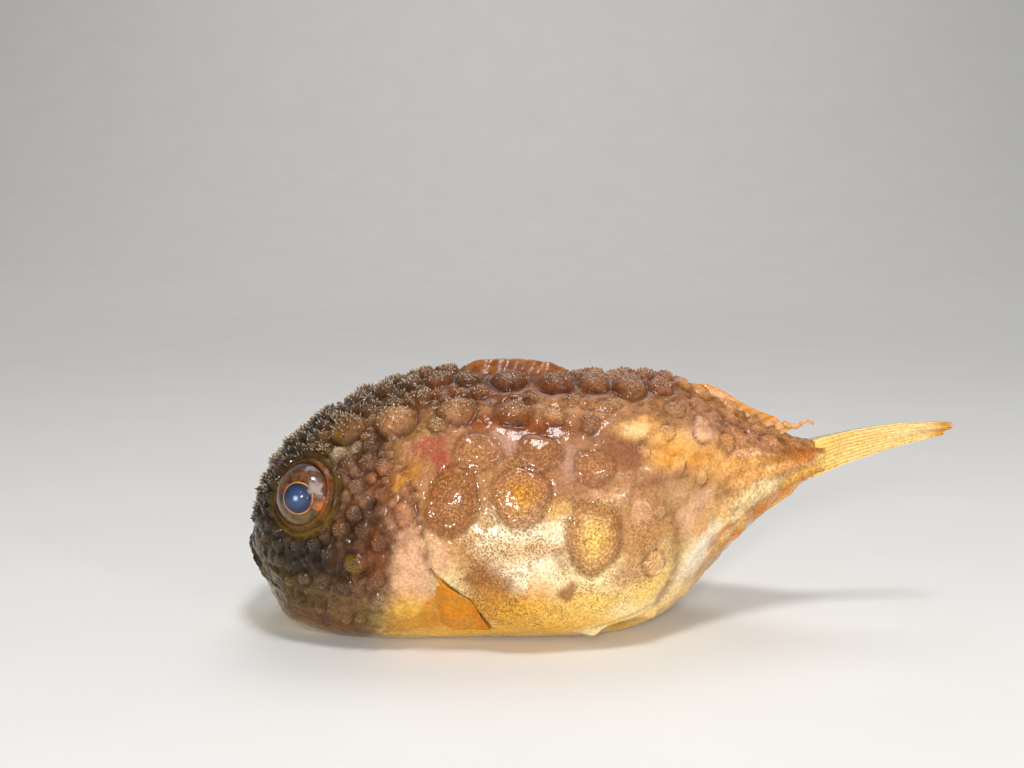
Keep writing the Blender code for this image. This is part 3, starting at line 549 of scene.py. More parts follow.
def raise_nostrils(skin, side):
    relief, hole = np.zeros(len(skin.points)), np.zeros(len(skin.points))
    for x, angle in ((-18.9, 44.0), (-17.9, 53.0)):
        centre = flesh([x], [angle], side)[0]
        near = skin.near(centre, 0.7)
        out = np.linalg.norm(skin.points[near] - centre, axis=1)
        relief[near] += 0.36 * hump(out - 0.2, 0.11)
        hole[near] = hump(out, 0.1)
    return relief - 0.3 * hole, hole


def shape_skin(skin, tubercles):
    """Adds all the relief to the smooth body and keeps the masks that the colours need."""
    bump, ditch = raise_tubercles(skin, tubercles)
    mouth, skin.slit, skin.lips = raise_mouth(skin)
    relief = np.maximum(bump, mouth) + ditch - 0.75 * skin.slit
    skin.eye_gap = np.full(len(skin.points), FAR)
    for side in (LEFT, RIGHT):
        orbit, out = raise_orbit(skin, side)
        skin.eye_gap = np.minimum(skin.eye_gap, out)
        relief = np.where(out < 2.25, orbit, relief + orbit)
        nostrils, hole = raise_nostrils(skin, side)
        relief += nostrils
        # The nostril holes join the slit's mask, to be painted dark as shade.
        skin.slit = np.maximum(skin.slit, hole)
    skin.fold = np.zeros(len(skin.points))
    for line, depth, width in CREASES:
        gap = to_line(skin.flat, [(x, angle * AROUND) for x, angle in line])
        groove = hump(gap, width)
        relief += depth * (0.5 * hump(gap - 2.4 * width, 1.5 * width) - groove)
        skin.fold = np.maximum(skin.fold, groove * min(depth * 5, 1))
    for x, angle, length, height, rise in SWELLINGS:
        relief += rise * hump((skin.x - x) / length, 1) * hump((skin.angle - angle) * AROUND, height)
    rough = 0.35 + 0.65 * smooth(-10.5, -13.5, skin.x) + 0.5 * smooth(40, 65, skin.angle)
    free = smooth(0.3, 0.9, skin.points[:, 2]) * smooth(1.6, 2.5, skin.eye_gap)
    lumps = 0.06 * ripples(skin.points, 1.3) + 0.05 * ripples(skin.points, 0.62, 3.0)
    lumps += 0.07 * ripples(skin.points, 0.4, 13.0) * smooth(-11.0, -13.0, skin.x)
    lumps += 0.13 * ripples(skin.points, 0.9, 17.0) * smooth(3.0, 5.0, skin.x) * smooth(12.5, 10.0, skin.x)
    wrinkles = -0.045 * (1 - np.abs(ripples(skin.points, 0.45, 9.0)) * 3).clip(0, 1)
    relief += (lumps + wrinkles * rough) * free
    skin.hollow = relief - skin.averaged(relief, 26)
    skin.points = skin.points + skin.normals * relief[:, None]
    skin.points[:, 2] = np.maximum(skin.points[:, 2], 0.0)


def paint_skin(skin):
    """The colour of the skin at each vertex, and where it is freckled, speckled and coarse."""
    drift = np.stack([ripples(skin.points, 1.5, 21.0), ripples(skin.points, 1.5, 37.0)], axis=1)
    drift += 0.6 * np.stack([ripples(skin.points, 0.5, 51.0), ripples(skin.points, 0.5, 67.0)], axis=1)
    skin.drifted = skin.flat + 0.5 * drift
    colour = lay(linear("cream"), "fawn", smooth(-30, 30, skin.angle + 12 * drift[:, 0]))
    colour = lay(colour, "tan", smooth(3.0, 6.0, skin.x + drift[:, 1]) * 0.8)
    for name, *patch in WASHES:
        colour = lay(colour, name, skin.patch([patch]))
    colour = lay(colour, skin.plate_colour, skin.plate * 0.85)
    colour = colour * skin.shade[:, None]
    # Painted shade: skin lower than its surroundings, between tubercles and in their ditches, is darkened,
    # less so on plates.
    hollow_shade = smooth(-0.01, -0.15, skin.hollow) * (1 - 0.7 * skin.plate)
    colour = lay(colour, colour * (0.36, 0.24, 0.16), hollow_shade * 0.75)
    # Tubercle crowns are painted paler, partly in their own paler, translucent tone and partly as painted
    # light on their tops; on the upper side they turn frost grey.
    frosty = smooth(48, 68, skin.angle)[:, None]
    glassy = colour * between(1.25, 0.8, frosty) + linear("frost") * between(0.05, 0.18, frosty)
    colour = lay(colour, glassy, skin.crown * 0.8)
    # Painted shade along the creases, in umber.
    colour = lay(colour, linear("umber") * 0.8, skin.fold * 0.5)
    colour = lay(colour, "bark", skin.seam * 0.42)
    colour = paint_orbit(skin, paint_lips(skin, colour))
    skin.colour, skin.freckled = np.clip(colour, 0, 1), skin.patch(FRECKLED, 1.4, 0.5)
    tail = smooth(5.0, 7.5, skin.x) * smooth(70, 45, skin.angle)
    skin.speckled = np.maximum(np.maximum(tail * 0.5, skin.plate * 0.8), skin.freckled * 0.5)
    bulk = smooth(-9.5, -12.5, skin.x) * 0.6 + smooth(35, 60, skin.angle) * 0.6
    skin.coarse = np.clip(0.15 + bulk, 0, 0.8)
    skin.coarse = np.maximum(skin.coarse, 0.45 * smooth(3.5, 6.0, skin.x))


def paint_lips(skin, colour):
    lower = smooth(4.3, 3.7, skin.points[:, 2] + 0.2 * skin.points[:, 1] ** 2)
    film = lay(linear("soot") * 0.6, "moss", lower)
    # Painted shade: the mouth's slit and the nostril holes are painted dark.
    return lay(lay(colour, film, skin.lips * 0.85), linear("soot") * 0.4, skin.slit)


def paint_orbit(skin, colour):
    """Rusty rim, dark olive lid above and paler folds below the eye, and painted shade where the skin dips
    under the eyeball.
    """
    rim, lid = hump(skin.eye_gap - 1.72, 0.18), hump(skin.eye_gap - 2.15, 0.26)
    below = smooth(22, 8, skin.angle)
    colour = lay(colour, lay(linear("olive"), "moss", below), lid * 0.75)
    tint = lay(linear("umber"), "rust", smooth(EYE_X, EYE_X + 1.6, skin.x))
    colour = lay(colour, lay(tint, "moss", below * 0.7), rim * 0.9)
    # Painted shade: the skin's inner edge, where it dips under the eyeball, is painted soot dark.
    return lay(colour, "soot", smooth(1.62, 1.54, skin.eye_gap))


def new_object(name, points, faces):
    """A mesh object in metres from points in millimetres, smooth all over."""
    mesh = bpy.data.meshes.new(name)
    mesh.from_pydata((np.asarray(points) * MM).tolist(), [], faces)
    mesh.update()
    make_smooth(mesh)
    obj = bpy.data.objects.new(name, mesh)
    bpy.context.scene.collection.objects.link(obj)
    return obj


def make_smooth(mesh):
    mesh.polygons.foreach_set("use_smooth", [True] * len(mesh.polygons))


def face_outwards(mesh):
    bm = bmesh.new()
    bm.from_mesh(mesh)
    bmesh.ops.recalc_face_normals(bm, faces=bm.faces)
    bm.to_mesh(mesh)
    bm.free()


def give_colour(mesh, name, colour):
    attribute = mesh.attributes.new(name, "FLOAT_COLOR", "POINT")
    values = np.concatenate([colour, np.ones((len(colour), 1))], axis=1)
    attribute.data.foreach_set("color", values.astype(np.float32).ravel())


def give_value(mesh, name, value):
    attribute = mesh.attributes.new(name, "FLOAT", "POINT")
    attribute.data.foreach_set("value", np.asarray(value, np.float32))


def give_map(mesh, corners):
    layer = mesh.uv_layers.new(name="OFBake")
    layer.data.foreach_set("uv", np.asarray(corners, np.float32).ravel())


def skin_faces(skin):
    """Quads between the rings and fans at both ends, with the corners of the skin's flat map."""
    rows, columns = skin.rows, skin.columns
    ring = np.arange(columns)
    after = (ring + 1) % columns
    faces, corners = [], []
    for row in range(rows - 1):
        a, b = row * columns + ring, row * columns + after
        faces += np.stack([a, a + columns, b + columns, b], axis=1).tolist()
        u0, u1 = np.full(columns, (row + 1) / (rows + 1)), np.full(columns, (row + 2) / (rows + 1))
        v0, v1 = ring / columns, (ring + 1) / columns
        square = [np.stack(pair, axis=1) for pair in ((u0, v0), (u1, v0), (u1, v1), (u0, v1))]
        corners += np.stack(square, axis=1).reshape(-1, 2).tolist()
    front, back = rows * columns, rows * columns + 1
    last = (rows - 1) * columns
    for k in range(columns):
        n = (k + 1) % columns
        v0, v1 = k / columns, (k + 1) / columns
        faces.append([front, k, n])
        corners += [[0, (v0 + v1) / 2], [1 / (rows + 1), v0], [1 / (rows + 1), v1]]
        faces.append([back, last + n, last + k])
        corners += [[1, (v0 + v1) / 2], [rows / (rows + 1), v1], [rows / (rows + 1), v0]]
    return faces, corners


def with_ends(skin, values):
    """Per-vertex values with one more for the pole at each end."""
    first, last = values[: skin.columns].mean(axis=0), values[-skin.columns :].mean(axis=0)
    return np.concatenate([values, [first], [last]], axis=0)


def make_skin(skin):
    faces, corners = skin_faces(skin)
    obj = new_object("skin", with_ends(skin, skin.points), faces)
    give_colour(obj.data, "hide", with_ends(skin, skin.colour))
    for name in ("freckled", "speckled", "coarse", "ring", "plate"):
        give_value(obj.data, name, with_ends(skin, getattr(skin, name)))
    give_map(obj.data, corners)
    face_outwards(obj.data)
    return obj


def spinule(root, direction, tall, radius, sides):
    """Points, faces and heights of one spinule, a round bead if low and a blunt cone if tall."""
    first = np.cross(direction, (0.3, 0.5, 0.8))
    first /= np.linalg.norm(first)
    second = np.cross(direction, first)
    turns = np.arange(sides) * math.tau / sides
    circle = np.cos(turns)[:, None] * first + np.sin(turns)[:, None] * second
    slim = float(smooth(0.1, 0.2, tall))
    waist, neck = between(0.9, 0.66, slim), between(0.6, 0.36, slim)
    steps = ((-0.3, 1.0), (0.42, waist), (0.82, neck)) if sides > 5 else ((-0.3, 1.0), (0.6, 0.72))
    points = [root + direction * tall * up + circle * radius * wide for up, wide in steps]
    points = np.concatenate(points + [(root + direction * tall)[None, :]])
    faces = [tuple(reversed(range(sides)))]
    for level in range(len(steps) - 1):
        low, high = level * sides, (level + 1) * sides
        for k in range(sides):
            n = (k + 1) % sides
            faces.append((low + k, low + n, high + n, high + k))
    top, last = len(points) - 1, (len(steps) - 1) * sides
    faces += [(last + k, last + (k + 1) % sides, top) for k in range(sides)]
    heights = np.repeat([0.0, 0.5, 0.85][: len(steps)], sides)
    return points, faces, np.append(heights, 1.0)


def spinule_places(tubercle, draw):
    """Where a tubercle's spinules stand, as shares of its half length and height, and how tall."""
    crown = smooth(35, 62, tubercle.angle) * smooth(-7.5, -12.5, tubercle.x)
    if tubercle.form == "plate":
        return
    if tubercle.form == "cushion":
        count, spread, tall = int(5 + 26 * tubercle.size), 0.84, 0.095
        if tubercle.angle < 30:
            spread = 0.6
    else:
        count, spread, tall = 2 + int(10 * tubercle.size), 0.55, 0.05 + 0.06 * tubercle.size
    if tubercle.x > 3.8:
        count, tall = count // 3, tall * 0.6
    tall *= 1 + 1.5 * crown
    start = draw.uniform(0, math.tau)
    for k in range(count):
        out = spread * math.sqrt((k + 0.5) / count)
        turn = start + GOLDEN_ANGLE * k + draw.uniform(-0.35, 0.35)
        yield out * math.cos(turn), out * math.sin(turn), tall * draw.uniform(0.7, 1.3)


GOLDEN_ANGLE = 2.39996
PATCH_RADIUS = 0.0015  # of a spinule's patch on the skin's flat map
# The coats of spinules: name and x from and to.
COATS = (("snout_spinules", -99, -15.6), ("nape_spinules", -15.6, -10.0), ("body_spinules", -10.0, 99))


def make_spinules(skin, tubercles, draw):
    """The coat of spinules, in three pieces from the snout to the tail."""
    quads = skin_faces(skin)[0][: (skin.rows - 1) * skin.columns]
    surface = BVHTree.FromPolygons(skin.points.tolist(), quads)
    made = []
    for name, first, last in COATS:
        points, faces, tints, tips, maps = [], [], [], [], []
        base = 0
        for t in tubercles:
            if not first <= t.x < last:
                continue
            for a, b, tall in spinule_places(t, draw):
                origin = t.centre + t.along * a * t.length + t.up * b * t.height + t.normal * 2.0
                hit, _, _, _ = surface.ray_cast(Vector(origin), Vector(-t.normal), 4.0)
                if hit is None or hit[2] < 0.1:
                    continue
                direction = t.normal + (t.along * a + t.up * b) * 0.45 + (0.16, 0.0, 0.04)
                direction += np.array([draw.uniform(-0.2, 0.2) for _ in range(3)])
                direction /= np.linalg.norm(direction)
                ivory = smooth(30, 55, t.angle) * smooth(5, 3, t.x)
                ivory = ivory * between(0.5, 1.0, smooth(-5.5, -11.5, t.x))
                radius = (0.06 if t.form == "cushion" else 0.048) * (1 + 0.3 * ivory)
                sides = 6 if t.form == "cushion" else 5
                cone, cone_faces, heights = spinule(np.array(hit), direction, tall, radius, sides)
                _, index, _ = skin.tree.find(hit)
                points.append(cone)
                faces += [[base + v for v in face] for face in cone_faces]
                tints.append(np.repeat(skin.colour[index][None, :], len(cone), axis=0))
                tips.append(heights * (0.22 + 0.78 * ivory))
                maps += spinule_map(map_place(skin, index), cone_faces, len(cone))
                base += len(cone)
        coat = new_object(name, np.concatenate(points), faces)
        give_colour(coat.data, "hide", np.concatenate(tints))
        give_value(coat.data, "tip", np.concatenate(tips))
        give_map(coat.data, maps)
        made.append(coat)
    return made


def map_place(skin, index):
    row, column = divmod(index, skin.columns)
    return (row + 1) / (skin.rows + 1), (column + 0.5) / skin.columns


def spinule_map(place, faces, count):
    """A patch 0.003 across at the root's place on the skin's flat map."""
    corners = []
    for face in faces:
        for corner in face:
            turn = corner * math.tau / 5
            reach = PATCH_RADIUS * (1 - 0.8 * corner / count)
            corners.append((place[0] + reach * math.cos(turn), place[1] + reach * math.sin(turn)))
    return corners


class Finish:
    """A material put together node by node."""

    def __init__(self, name, **sockets):
        self.material = bpy.data.materials.new(name)
        self.material.use_nodes = True
        self.nodes = self.material.node_tree.nodes
        self.links = self.material.node_tree.links
        self.shader = self.nodes["Principled BSDF"]
        for socket, value in sockets.items():
            self.shader.inputs[socket.replace("_", " ")].default_value = value

    def put(self, socket, value):
        if isinstance(value, bpy.types.NodeSocket):
            self.links.new(value, socket)
        elif socket.type == "RGBA":
            socket.default_value = (*value, 1.0)
        else:
            socket.default_value = value

    def add(self, kind, inputs=None, **settings):
        made = self.nodes.new(kind)
        for key, value in settings.items():
            setattr(made, key, value)
        for key, value in (inputs or {}).items():
            self.put(made.inputs[key], value)
        return made

    def attribute(self, name, output="Fac"):
        return self.add("ShaderNodeAttribute", attribute_name=name).outputs[output]

    def places(self):
        return self.add("ShaderNodeTexCoord").outputs["Object"]

    def clouds(self, scale, detail=4.0, roughness=0.55, places=None, distortion=0.0):
        inputs = {"Vector": places or self.places(), "Scale": scale, "Detail": detail}
        inputs.update({"Roughness": roughness, "Distortion": distortion})
        return self.add("ShaderNodeTexNoise", inputs).outputs["Fac"]

    def cells(self, scale):
        """Distance to the nearest of many scattered points, and a number for each of them."""
        made = self.add("ShaderNodeTexVoronoi", {"Vector": self.places(), "Scale": scale})
        number = self.add("ShaderNodeSeparateColor", {"Color": made.outputs["Color"]})
        return made.outputs["Distance"], number.outputs["Red"]

    def maths(self, operation, *values):
        made = self.add("ShaderNodeMath", operation=operation)
        for socket, value in zip(made.inputs, values):
            self.put(socket, value)
        return made.outputs[0]

    def times(self, *values):
        product = values[0]
        for value in values[1:]:
            product = self.maths("MULTIPLY", product, value)
        return product

    def plus(self, first, second):
        return self.maths("ADD", first, second)

    def ramp(self, value, low, high, to_low=0.0, to_high=1.0):
        inputs = {"Value": value, "From Min": low, "From Max": high, "To Min": to_low, "To Max": to_high}
        made = self.add("ShaderNodeMapRange", inputs, interpolation_type="SMOOTHSTEP")
        return made.outputs["Result"]

    def mix(self, share, first, second, blend="MIX"):
        made = self.add("ShaderNodeMix", data_type="RGBA", blend_type=blend)
        for socket, value in ((made.inputs[0], share), (made.inputs[6], first), (made.inputs[7], second)):
            self.put(socket, value)
        return made.outputs[2]

    def bump(self, height, distance, strength):
        inputs = {"Height": height, "Distance": distance, "Strength": strength}
        return self.add("ShaderNodeBump", inputs).outputs["Normal"]

    def done(self, **links):
        for name, value in links.items():
            self.links.new(value, self.shader.inputs[name.replace("_", " ")])
        return self.material


def wet_skin():
    """Wet, slimy skin: painted colours broken by mottling, dark dots, granules and rings."""
    skin = Finish("wet skin", Coat_Weight=1.0, Coat_Roughness=0.06, Coat_IOR=1.28, Specular_IOR_Level=0.08,
                  Subsurface_Weight=0.22, Subsurface_Scale=0.0008, Subsurface_Radius=(1.0, 0.45, 0.25))
    hide = skin.attribute("hide", "Color")
    freckled, speckled, plate = (skin.attribute(name) for name in ("freckled", "speckled", "plate"))
    coarse, ring = skin.attribute("coarse"), skin.attribute("ring")
    mottle = skin.clouds(1600, 6, 0.65, distortion=0.4)
    fine = skin.clouds(6500, 4, 0.6)

    shadowy = skin.mix(skin.ramp(mottle, 0.34, 0.6), (0.4, 0.34, 0.28), (1.0, 1.0, 1.0))
    colour = skin.mix(coarse, hide, skin.mix(1.0, hide, shadowy, "MULTIPLY"))
    lively = skin.mix(skin.ramp(fine, 0.3, 0.7), (0.8, 0.75, 0.68), (1.2, 1.17, 1.12))
    colour = skin.mix(1.0, colour, lively, "MULTIPLY")

    grain_gap, grain = skin.cells(8400)
    granules = skin.mix(skin.ramp(grain, 0.25, 0.75), (0.6, 0.46, 0.34), (1.35, 1.3, 1.15))
    colour = skin.mix(skin.times(speckled, 0.8), colour, skin.mix(1.0, colour, granules, "MULTIPLY"))

    turns = skin.times(skin.plus(skin.plus(ring, skin.times(mottle, 0.25)), skin.times(fine, 0.16)), 32.0)
    rings = skin.times(skin.ramp(skin.maths("SINE", turns), -0.6, 1.0), plate)
    broken = skin.times(rings, skin.ramp(grain, 0.2, 0.7))
    colour = skin.mix(skin.times(broken, 0.42), colour, (0.17, 0.075, 0.022))

    reach = skin.times(freckled, skin.ramp(skin.clouds(1000, 3), 0.32, 0.62, 0.22, 0.56))
    dot_gap, _ = skin.cells(8200)
    dots = skin.ramp(skin.maths("SUBTRACT", skin.times(reach, 0.92), dot_gap), -0.03, 0.06)
    colour = skin.mix(skin.times(dots, 0.72), colour, (0.21, 0.092, 0.02))
    gold_gap, _ = skin.cells(6100)
    gold = skin.ramp(skin.maths("SUBTRACT", skin.times(reach, 0.8), gold_gap), -0.02, 0.05)
    colour = skin.mix(skin.times(gold, 0.4), colour, (0.7, 0.38, 0.09))

    roughness = skin.ramp(mottle, 0.3, 0.7, 0.28, 0.5)
    swell = skin.plus(skin.times(fine, 0.7), skin.times(rings, -0.4))
    normal = skin.bump(skin.plus(skin.times(grain_gap, -0.6), swell), 0.00005, 0.55)
    film = skin.times(skin.clouds(2100, 3), skin.plus(coarse, 0.6))
    wet = skin.bump(film, 0.00008, 0.5)
    return skin.done(Base_Color=colour, Roughness=roughness, Normal=normal, Coat_Normal=wet)


def glassy_spinule():
    """Spinules take the colour of the skin they stand on, paler and clear towards the tip."""
    spine = Finish("glassy spinule", Coat_Weight=1.0, Coat_Roughness=0.05, Specular_IOR_Level=0.3,
                   Subsurface_Weight=0.3, Subsurface_Scale=0.0004)
    hide, tip = spine.attribute("hide", "Color"), spine.attribute("tip")
    streak = spine.clouds(5000, 3)
    pale = spine.mix(spine.ramp(streak, 0.35, 0.65), (0.38, 0.31, 0.17), (0.62, 0.56, 0.4))
    colour = spine.mix(spine.ramp(tip, 0.2, 1.0, 0.06, 0.75), hide, pale)
    roughness = spine.ramp(streak, 0.2, 0.8, 0.15, 0.35)
    return spine.done(Base_Color=colour, Roughness=roughness, Normal=spine.bump(streak, 0.00001, 0.5))


def select_none():
    for obj in bpy.context.selected_objects:
        obj.select_set(False)


def start_editing(obj, kind):
    """Goes into edit mode on one object, to pick FACE or EDGE."""
    select_none()
    bpy.context.view_layer.objects.active = obj
    obj.select_set(True)
    bpy.ops.object.mode_set(mode="EDIT")
    bpy.ops.mesh.select_mode(type=kind)


def pick(obj, parts, test):
    """In edit mode, selects only the faces or edges that pass a test."""
    bpy.ops.mesh.select_all(action="DESELECT")
    bm = bmesh.from_edit_mesh(obj.data)
    for part in getattr(bm, parts):
        part.select = test(part)
    bmesh.update_edit_mesh(obj.data)


def settle(obj):
    """Puts the object's place, turn and size into its mesh."""
    obj.data.transform(obj.matrix_world)
    obj.matrix_world = Matrix.Identity(4)


def make_eye(name, side, finish):
    """An eyeball whose front is drawn out a little into the clear cornea."""
    middle, axis, gaze = eye_pose(side)
    centre = middle - axis * EYE_SUNK
    select_none()
    bpy.ops.mesh.primitive_uv_sphere_add(segments=96, ring_count=64, radius=EYE_RADIUS * MM)
    eye = bpy.context.active_object
    eye.name = name
    local = np.array([v.co for v in eye.data.vertices]) / MM
    out = np.hypot(local[:, 0], local[:, 1])
    front = local[:, 2] > 0
    local[:, 2] += np.where(front, 0.1 * smooth(0.9, 0.0, out) - 0.05 * hump(out - 0.92, 0.12), 0.0)
    eye.data.vertices.foreach_set("co", (local * MM).astype(np.float32).ravel())
    give_value(eye.data, "out", np.where(front, out, FAR))
    turn = Vector(gaze).to_track_quat("Z", "Y").to_matrix().to_4x4()
    eye.data.transform(Matrix.Translation(Vector(centre) * MM) @ turn)
    placed = (np.array([v.co for v in eye.data.vertices]) / MM - centre) / EYE_RADIUS
    give_value(eye.data, "aft", placed[:, 0])
    give_value(eye.data, "up", placed[:, 2])
    make_smooth(eye.data)
    eye.data.materials.append(finish)
    return eye


def eye_finish():
    """Blue lens with a painted pale glow at its middle, a thin orange ring, a streaked brown and gold iris
    and a painted pale glint above and behind the pupil.
    """
    eye = Finish("eye", Coat_Weight=1.0, Coat_Roughness=0.02, Coat_IOR=1.4, Specular_IOR_Level=0.15,
                 Roughness=0.4)
    out, aft, up = eye.attribute("out"), eye.attribute("aft"), eye.attribute("up")
    streaks = eye.clouds(2400, 5, 0.6)
    iris = eye.mix(eye.ramp(streaks, 0.35, 0.65), (0.03, 0.014, 0.008), (0.17, 0.06, 0.022))
    gold = eye.mix(eye.ramp(streaks, 0.3, 0.6), (0.045, 0.026, 0.006), (0.15, 0.09, 0.02))
    iris = eye.mix(eye.ramp(up, 0.1, -0.35), iris, gold)
    ragged = eye.times(eye.maths("SUBTRACT", eye.clouds(1900, 5, 0.7), 0.5), 0.9)
    aft, up = eye.plus(aft, ragged), eye.plus(up, eye.times(eye.maths("SUBTRACT", streaks, 0.5), 0.8))
    wedge = eye.times(eye.ramp(aft, 0.22, 0.38), eye.ramp(up, 0.16, 0.02), eye.ramp(up, -0.34, -0.16))
    iris = eye.mix(wedge, iris, (0.48, 0.13, 0.02))
    iris = eye.mix(eye.ramp(out, 1.42, 1.72), iris, (0.03, 0.016, 0.008))
    wavering = eye.plus(out, eye.times(eye.clouds(900, 2), 0.1))
    halo = eye.times(eye.ramp(wavering, 0.84, 0.87), eye.ramp(wavering, 0.92, 0.885))
    broken = eye.ramp(aft, 0.22, 0.04, 0.0, 1.0)
    iris = eye.mix(eye.times(halo, broken), iris, (0.8, 0.27, 0.04))
    # Painted glow: the lens is pale blue-white at its middle, fading out to navy.
    lens = eye.mix(eye.ramp(out, 0.03, 0.2), (0.42, 0.6, 0.82), (0.034, 0.066, 0.165))
    lens = eye.mix(eye.ramp(out, 0.2, 0.8), lens, (0.01, 0.015, 0.042))
    colour = eye.mix(eye.ramp(wavering, 0.81, 0.85), lens, iris)
    # Painted glint: a pale grey patch above and behind the pupil.
    painted_glint = eye.times(eye.ramp(aft, 0.08, 0.26), eye.ramp(aft, 0.54, 0.34), eye.ramp(up, 0.16, 0.36))
    painted_glint = eye.times(painted_glint, eye.ramp(up, 0.7, 0.48), 0.75)
    colour = eye.mix(painted_glint, colour, (0.42, 0.34, 0.31))
    return eye.done(Base_Color=colour, Normal=eye.bump(streaks, 0.00002, 0.3))


def blade(name, sheet, half, ray, along, across):
    """A closed blade round a sheet of points, half as thick each way as half says."""
    columns, rows = sheet.shape[:2]
    slant = np.cross(np.gradient(sheet, axis=0), np.gradient(sheet, axis=1))
    slant /= np.linalg.norm(slant, axis=2, keepdims=True) + 1e-12
    front, back = sheet + slant * half[:, :, None], sheet - slant * half[:, :, None]
    points = np.concatenate([front.reshape(-1, 3), back.reshape(-1, 3)])
    shift = columns * rows
    faces, maps = [], []
    for i in range(columns - 1):
        for j in range(rows - 1):
            a, b, c, d = i * rows + j, (i + 1) * rows + j, (i + 1) * rows + j + 1, i * rows + j + 1
            spots = [(i, j), (i + 1, j), (i + 1, j + 1), (i, j + 1)]
            faces += [(a, b, c, d), (d + shift, c + shift, b + shift, a + shift)]
            maps += [(p / (columns - 1) * 0.48, q / (rows - 1)) for p, q in spots]
            maps += [(0.52 + p / (columns - 1) * 0.48, q / (rows - 1)) for p, q in reversed(spots)]
    border = [(i, 0) for i in range(columns)] + [(columns - 1, j) for j in range(1, rows)]
    border += [(i, rows - 1) for i in range(columns - 2, -1, -1)] + [(0, j) for j in range(rows - 2, 0, -1)]
    for (i, j), (p, q) in zip(border, border[1:] + border[:1]):
        a, b = i * rows + j, p * rows + q
        faces.append((b, a, a + shift, b + shift))
        maps += [(0.49 + 0.01 * (i + p) / (columns - 1), (j + q) / 2 / (rows - 1))] * 4
    made = new_object(name, points, faces)
    for key, value in (("ray", ray), ("along", along), ("across", across)):
        give_value(made.data, key, np.tile(np.broadcast_to(value, (columns, rows)).ravel(), 2))
    give_map(made.data, maps)
    face_outwards(made.data)
    return made


def fin(name, root, edge, rays, thickness, draw, middle=None, ridge=0.1, fray=0.04, rows=44, per_ray=8):
    """A folded fin in the middle of the body, with ridged rays and thin skin between.

    root, middle and edge give a point for each share from the first ray to the last, and
    thickness gives the blade's at each share of the way out.
    """
    columns = rays * per_ray + 1
    across, along = np.linspace(0, 1, columns), np.linspace(0, 1, rows)
    lengths = [1 - fray * draw.random() for _ in range(rays + 1)]
    comb = np.abs(np.cos(across * rays * math.pi))
    reach = np.interp(across * rays, range(rays + 1), lengths) * (1 - fray * 0.9 * (1 - comb) ** 2)
    sheet = np.zeros((columns, rows, 3))
    for i, t in enumerate(across):
        a, c = np.asarray(root(t), float), np.asarray(edge(t), float)
        b = np.asarray(middle(t), float) if middle else (a + c) / 2
        s = (along * reach[i])[:, None]
        sheet[i] = (1 - s) ** 2 * a + 2 * s * (1 - s) * b + s**2 * c
    sheet[:, :, 1] += 0.03 * np.sin(across[:, None] * 11 + along[None, :] * 4) * along[None, :]
    joints = 1 + 0.12 * np.sin(along * 80)
    swell = ridge * comb[:, None] ** 2 * (smooth(0, 0.15, along) * (1 - 0.6 * along) * joints)[None, :]
    half = np.array([thickness(s) for s in along])[None, :] / 2 + swell
    return blade(name, sheet, half, comb[:, None], along[None, :], across[:, None])


def fin_finish(name, base, body, light, dark, tip, broad=10.0, streaky=1.0, wetness=1.0):
    """Translucent fin skin in streaks along the rays, turning to another colour at base and tip."""
    made = Finish(name, Coat_Weight=wetness, Coat_Roughness=0.06, Coat_IOR=1.3, Specular_IOR_Level=0.1,
                  Subsurface_Weight=0.35, Subsurface_Scale=0.0006, Subsurface_Radius=(1.0, 0.5, 0.2))
    along, across, comb = made.attribute("along"), made.attribute("across"), made.attribute("ray")
    places = made.add("ShaderNodeCombineXYZ", {"X": along, "Y": across}).outputs[0]
    wide = made.add("ShaderNodeMapping", {"Vector": places, "Scale": (2.0, broad, 1.0)}).outputs[0]
    thin = made.add("ShaderNodeMapping", {"Vector": places, "Scale": (3.0, broad * 5, 1.0)}).outputs[0]
    wide, thin = made.clouds(1.0, 4, 0.6, wide, 0.3), made.clouds(1.0, 3, 0.6, thin)
    body = made.mix(made.ramp(wide, 0.42, 0.6), linear(body), linear(light))
    body = made.mix(made.times(made.ramp(thin, 0.5, 0.68), 0.7 * streaky), body, linear(dark))
    body = made.mix(made.times(made.ramp(comb, 0.5, 1.0), 0.35 * streaky), body, linear(light))
    body = made.mix(made.ramp(along, 0.3, 0.02), body, linear(base))
    body = made.mix(made.ramp(along, 0.8, 1.0, 0.0, 0.85), body, linear(tip))
    grain = made.clouds(5500, 4)
    lively = made.mix(made.ramp(grain, 0.3, 0.7), (0.74, 0.66, 0.56), (1.15, 1.12, 1.08))
    body = made.mix(0.8, body, lively, "MULTIPLY")
    height = made.plus(thin, made.times(grain, 0.5))
    roughness = made.ramp(grain, 0.3, 0.7, 0.25, 0.42)
    normal, wet = made.bump(height, 0.00005, 0.5), made.bump(wide, 0.00008, 0.5)
    return made.done(Base_Color=body, Roughness=roughness, Normal=normal, Coat_Normal=wet)


# Outlines: the fins' upper or lower edges as x and height, and the tail fin's outer rays.
CREST_EDGE = ((-7.9, 14.55), (-7.3, 14.95), (-6.0, 15.04), (-4.3, 14.97), (-3.0, 14.84), (-2.4, 14.57),
              (-1.8, 14.3))
SOFT_EDGE = ((4.6, 13.62), (5.9, 13.6), (6.6, 13.34), (7.2, 13.02), (7.7, 12.66), (8.4, 12.26),
             (9.2, 11.93), (9.8, 11.72), (10.2, 11.43), (10.7, 11.13), (11.2, 11.07))
ANAL_EDGE = ((6.8, 3.4), (7.6, 4.35), (8.4, 5.12), (9.3, 5.98), (10.2, 6.68), (11.0, 7.24), (11.4, 7.76),
             (11.9, 8.05))
TAIL_LOW = ((12.0, 8.2), (16.3, 9.94), (19.8, 10.78))
TAIL_HIGH = ((12.1, 10.3), (16.6, 11.63), (20.4, 11.27))
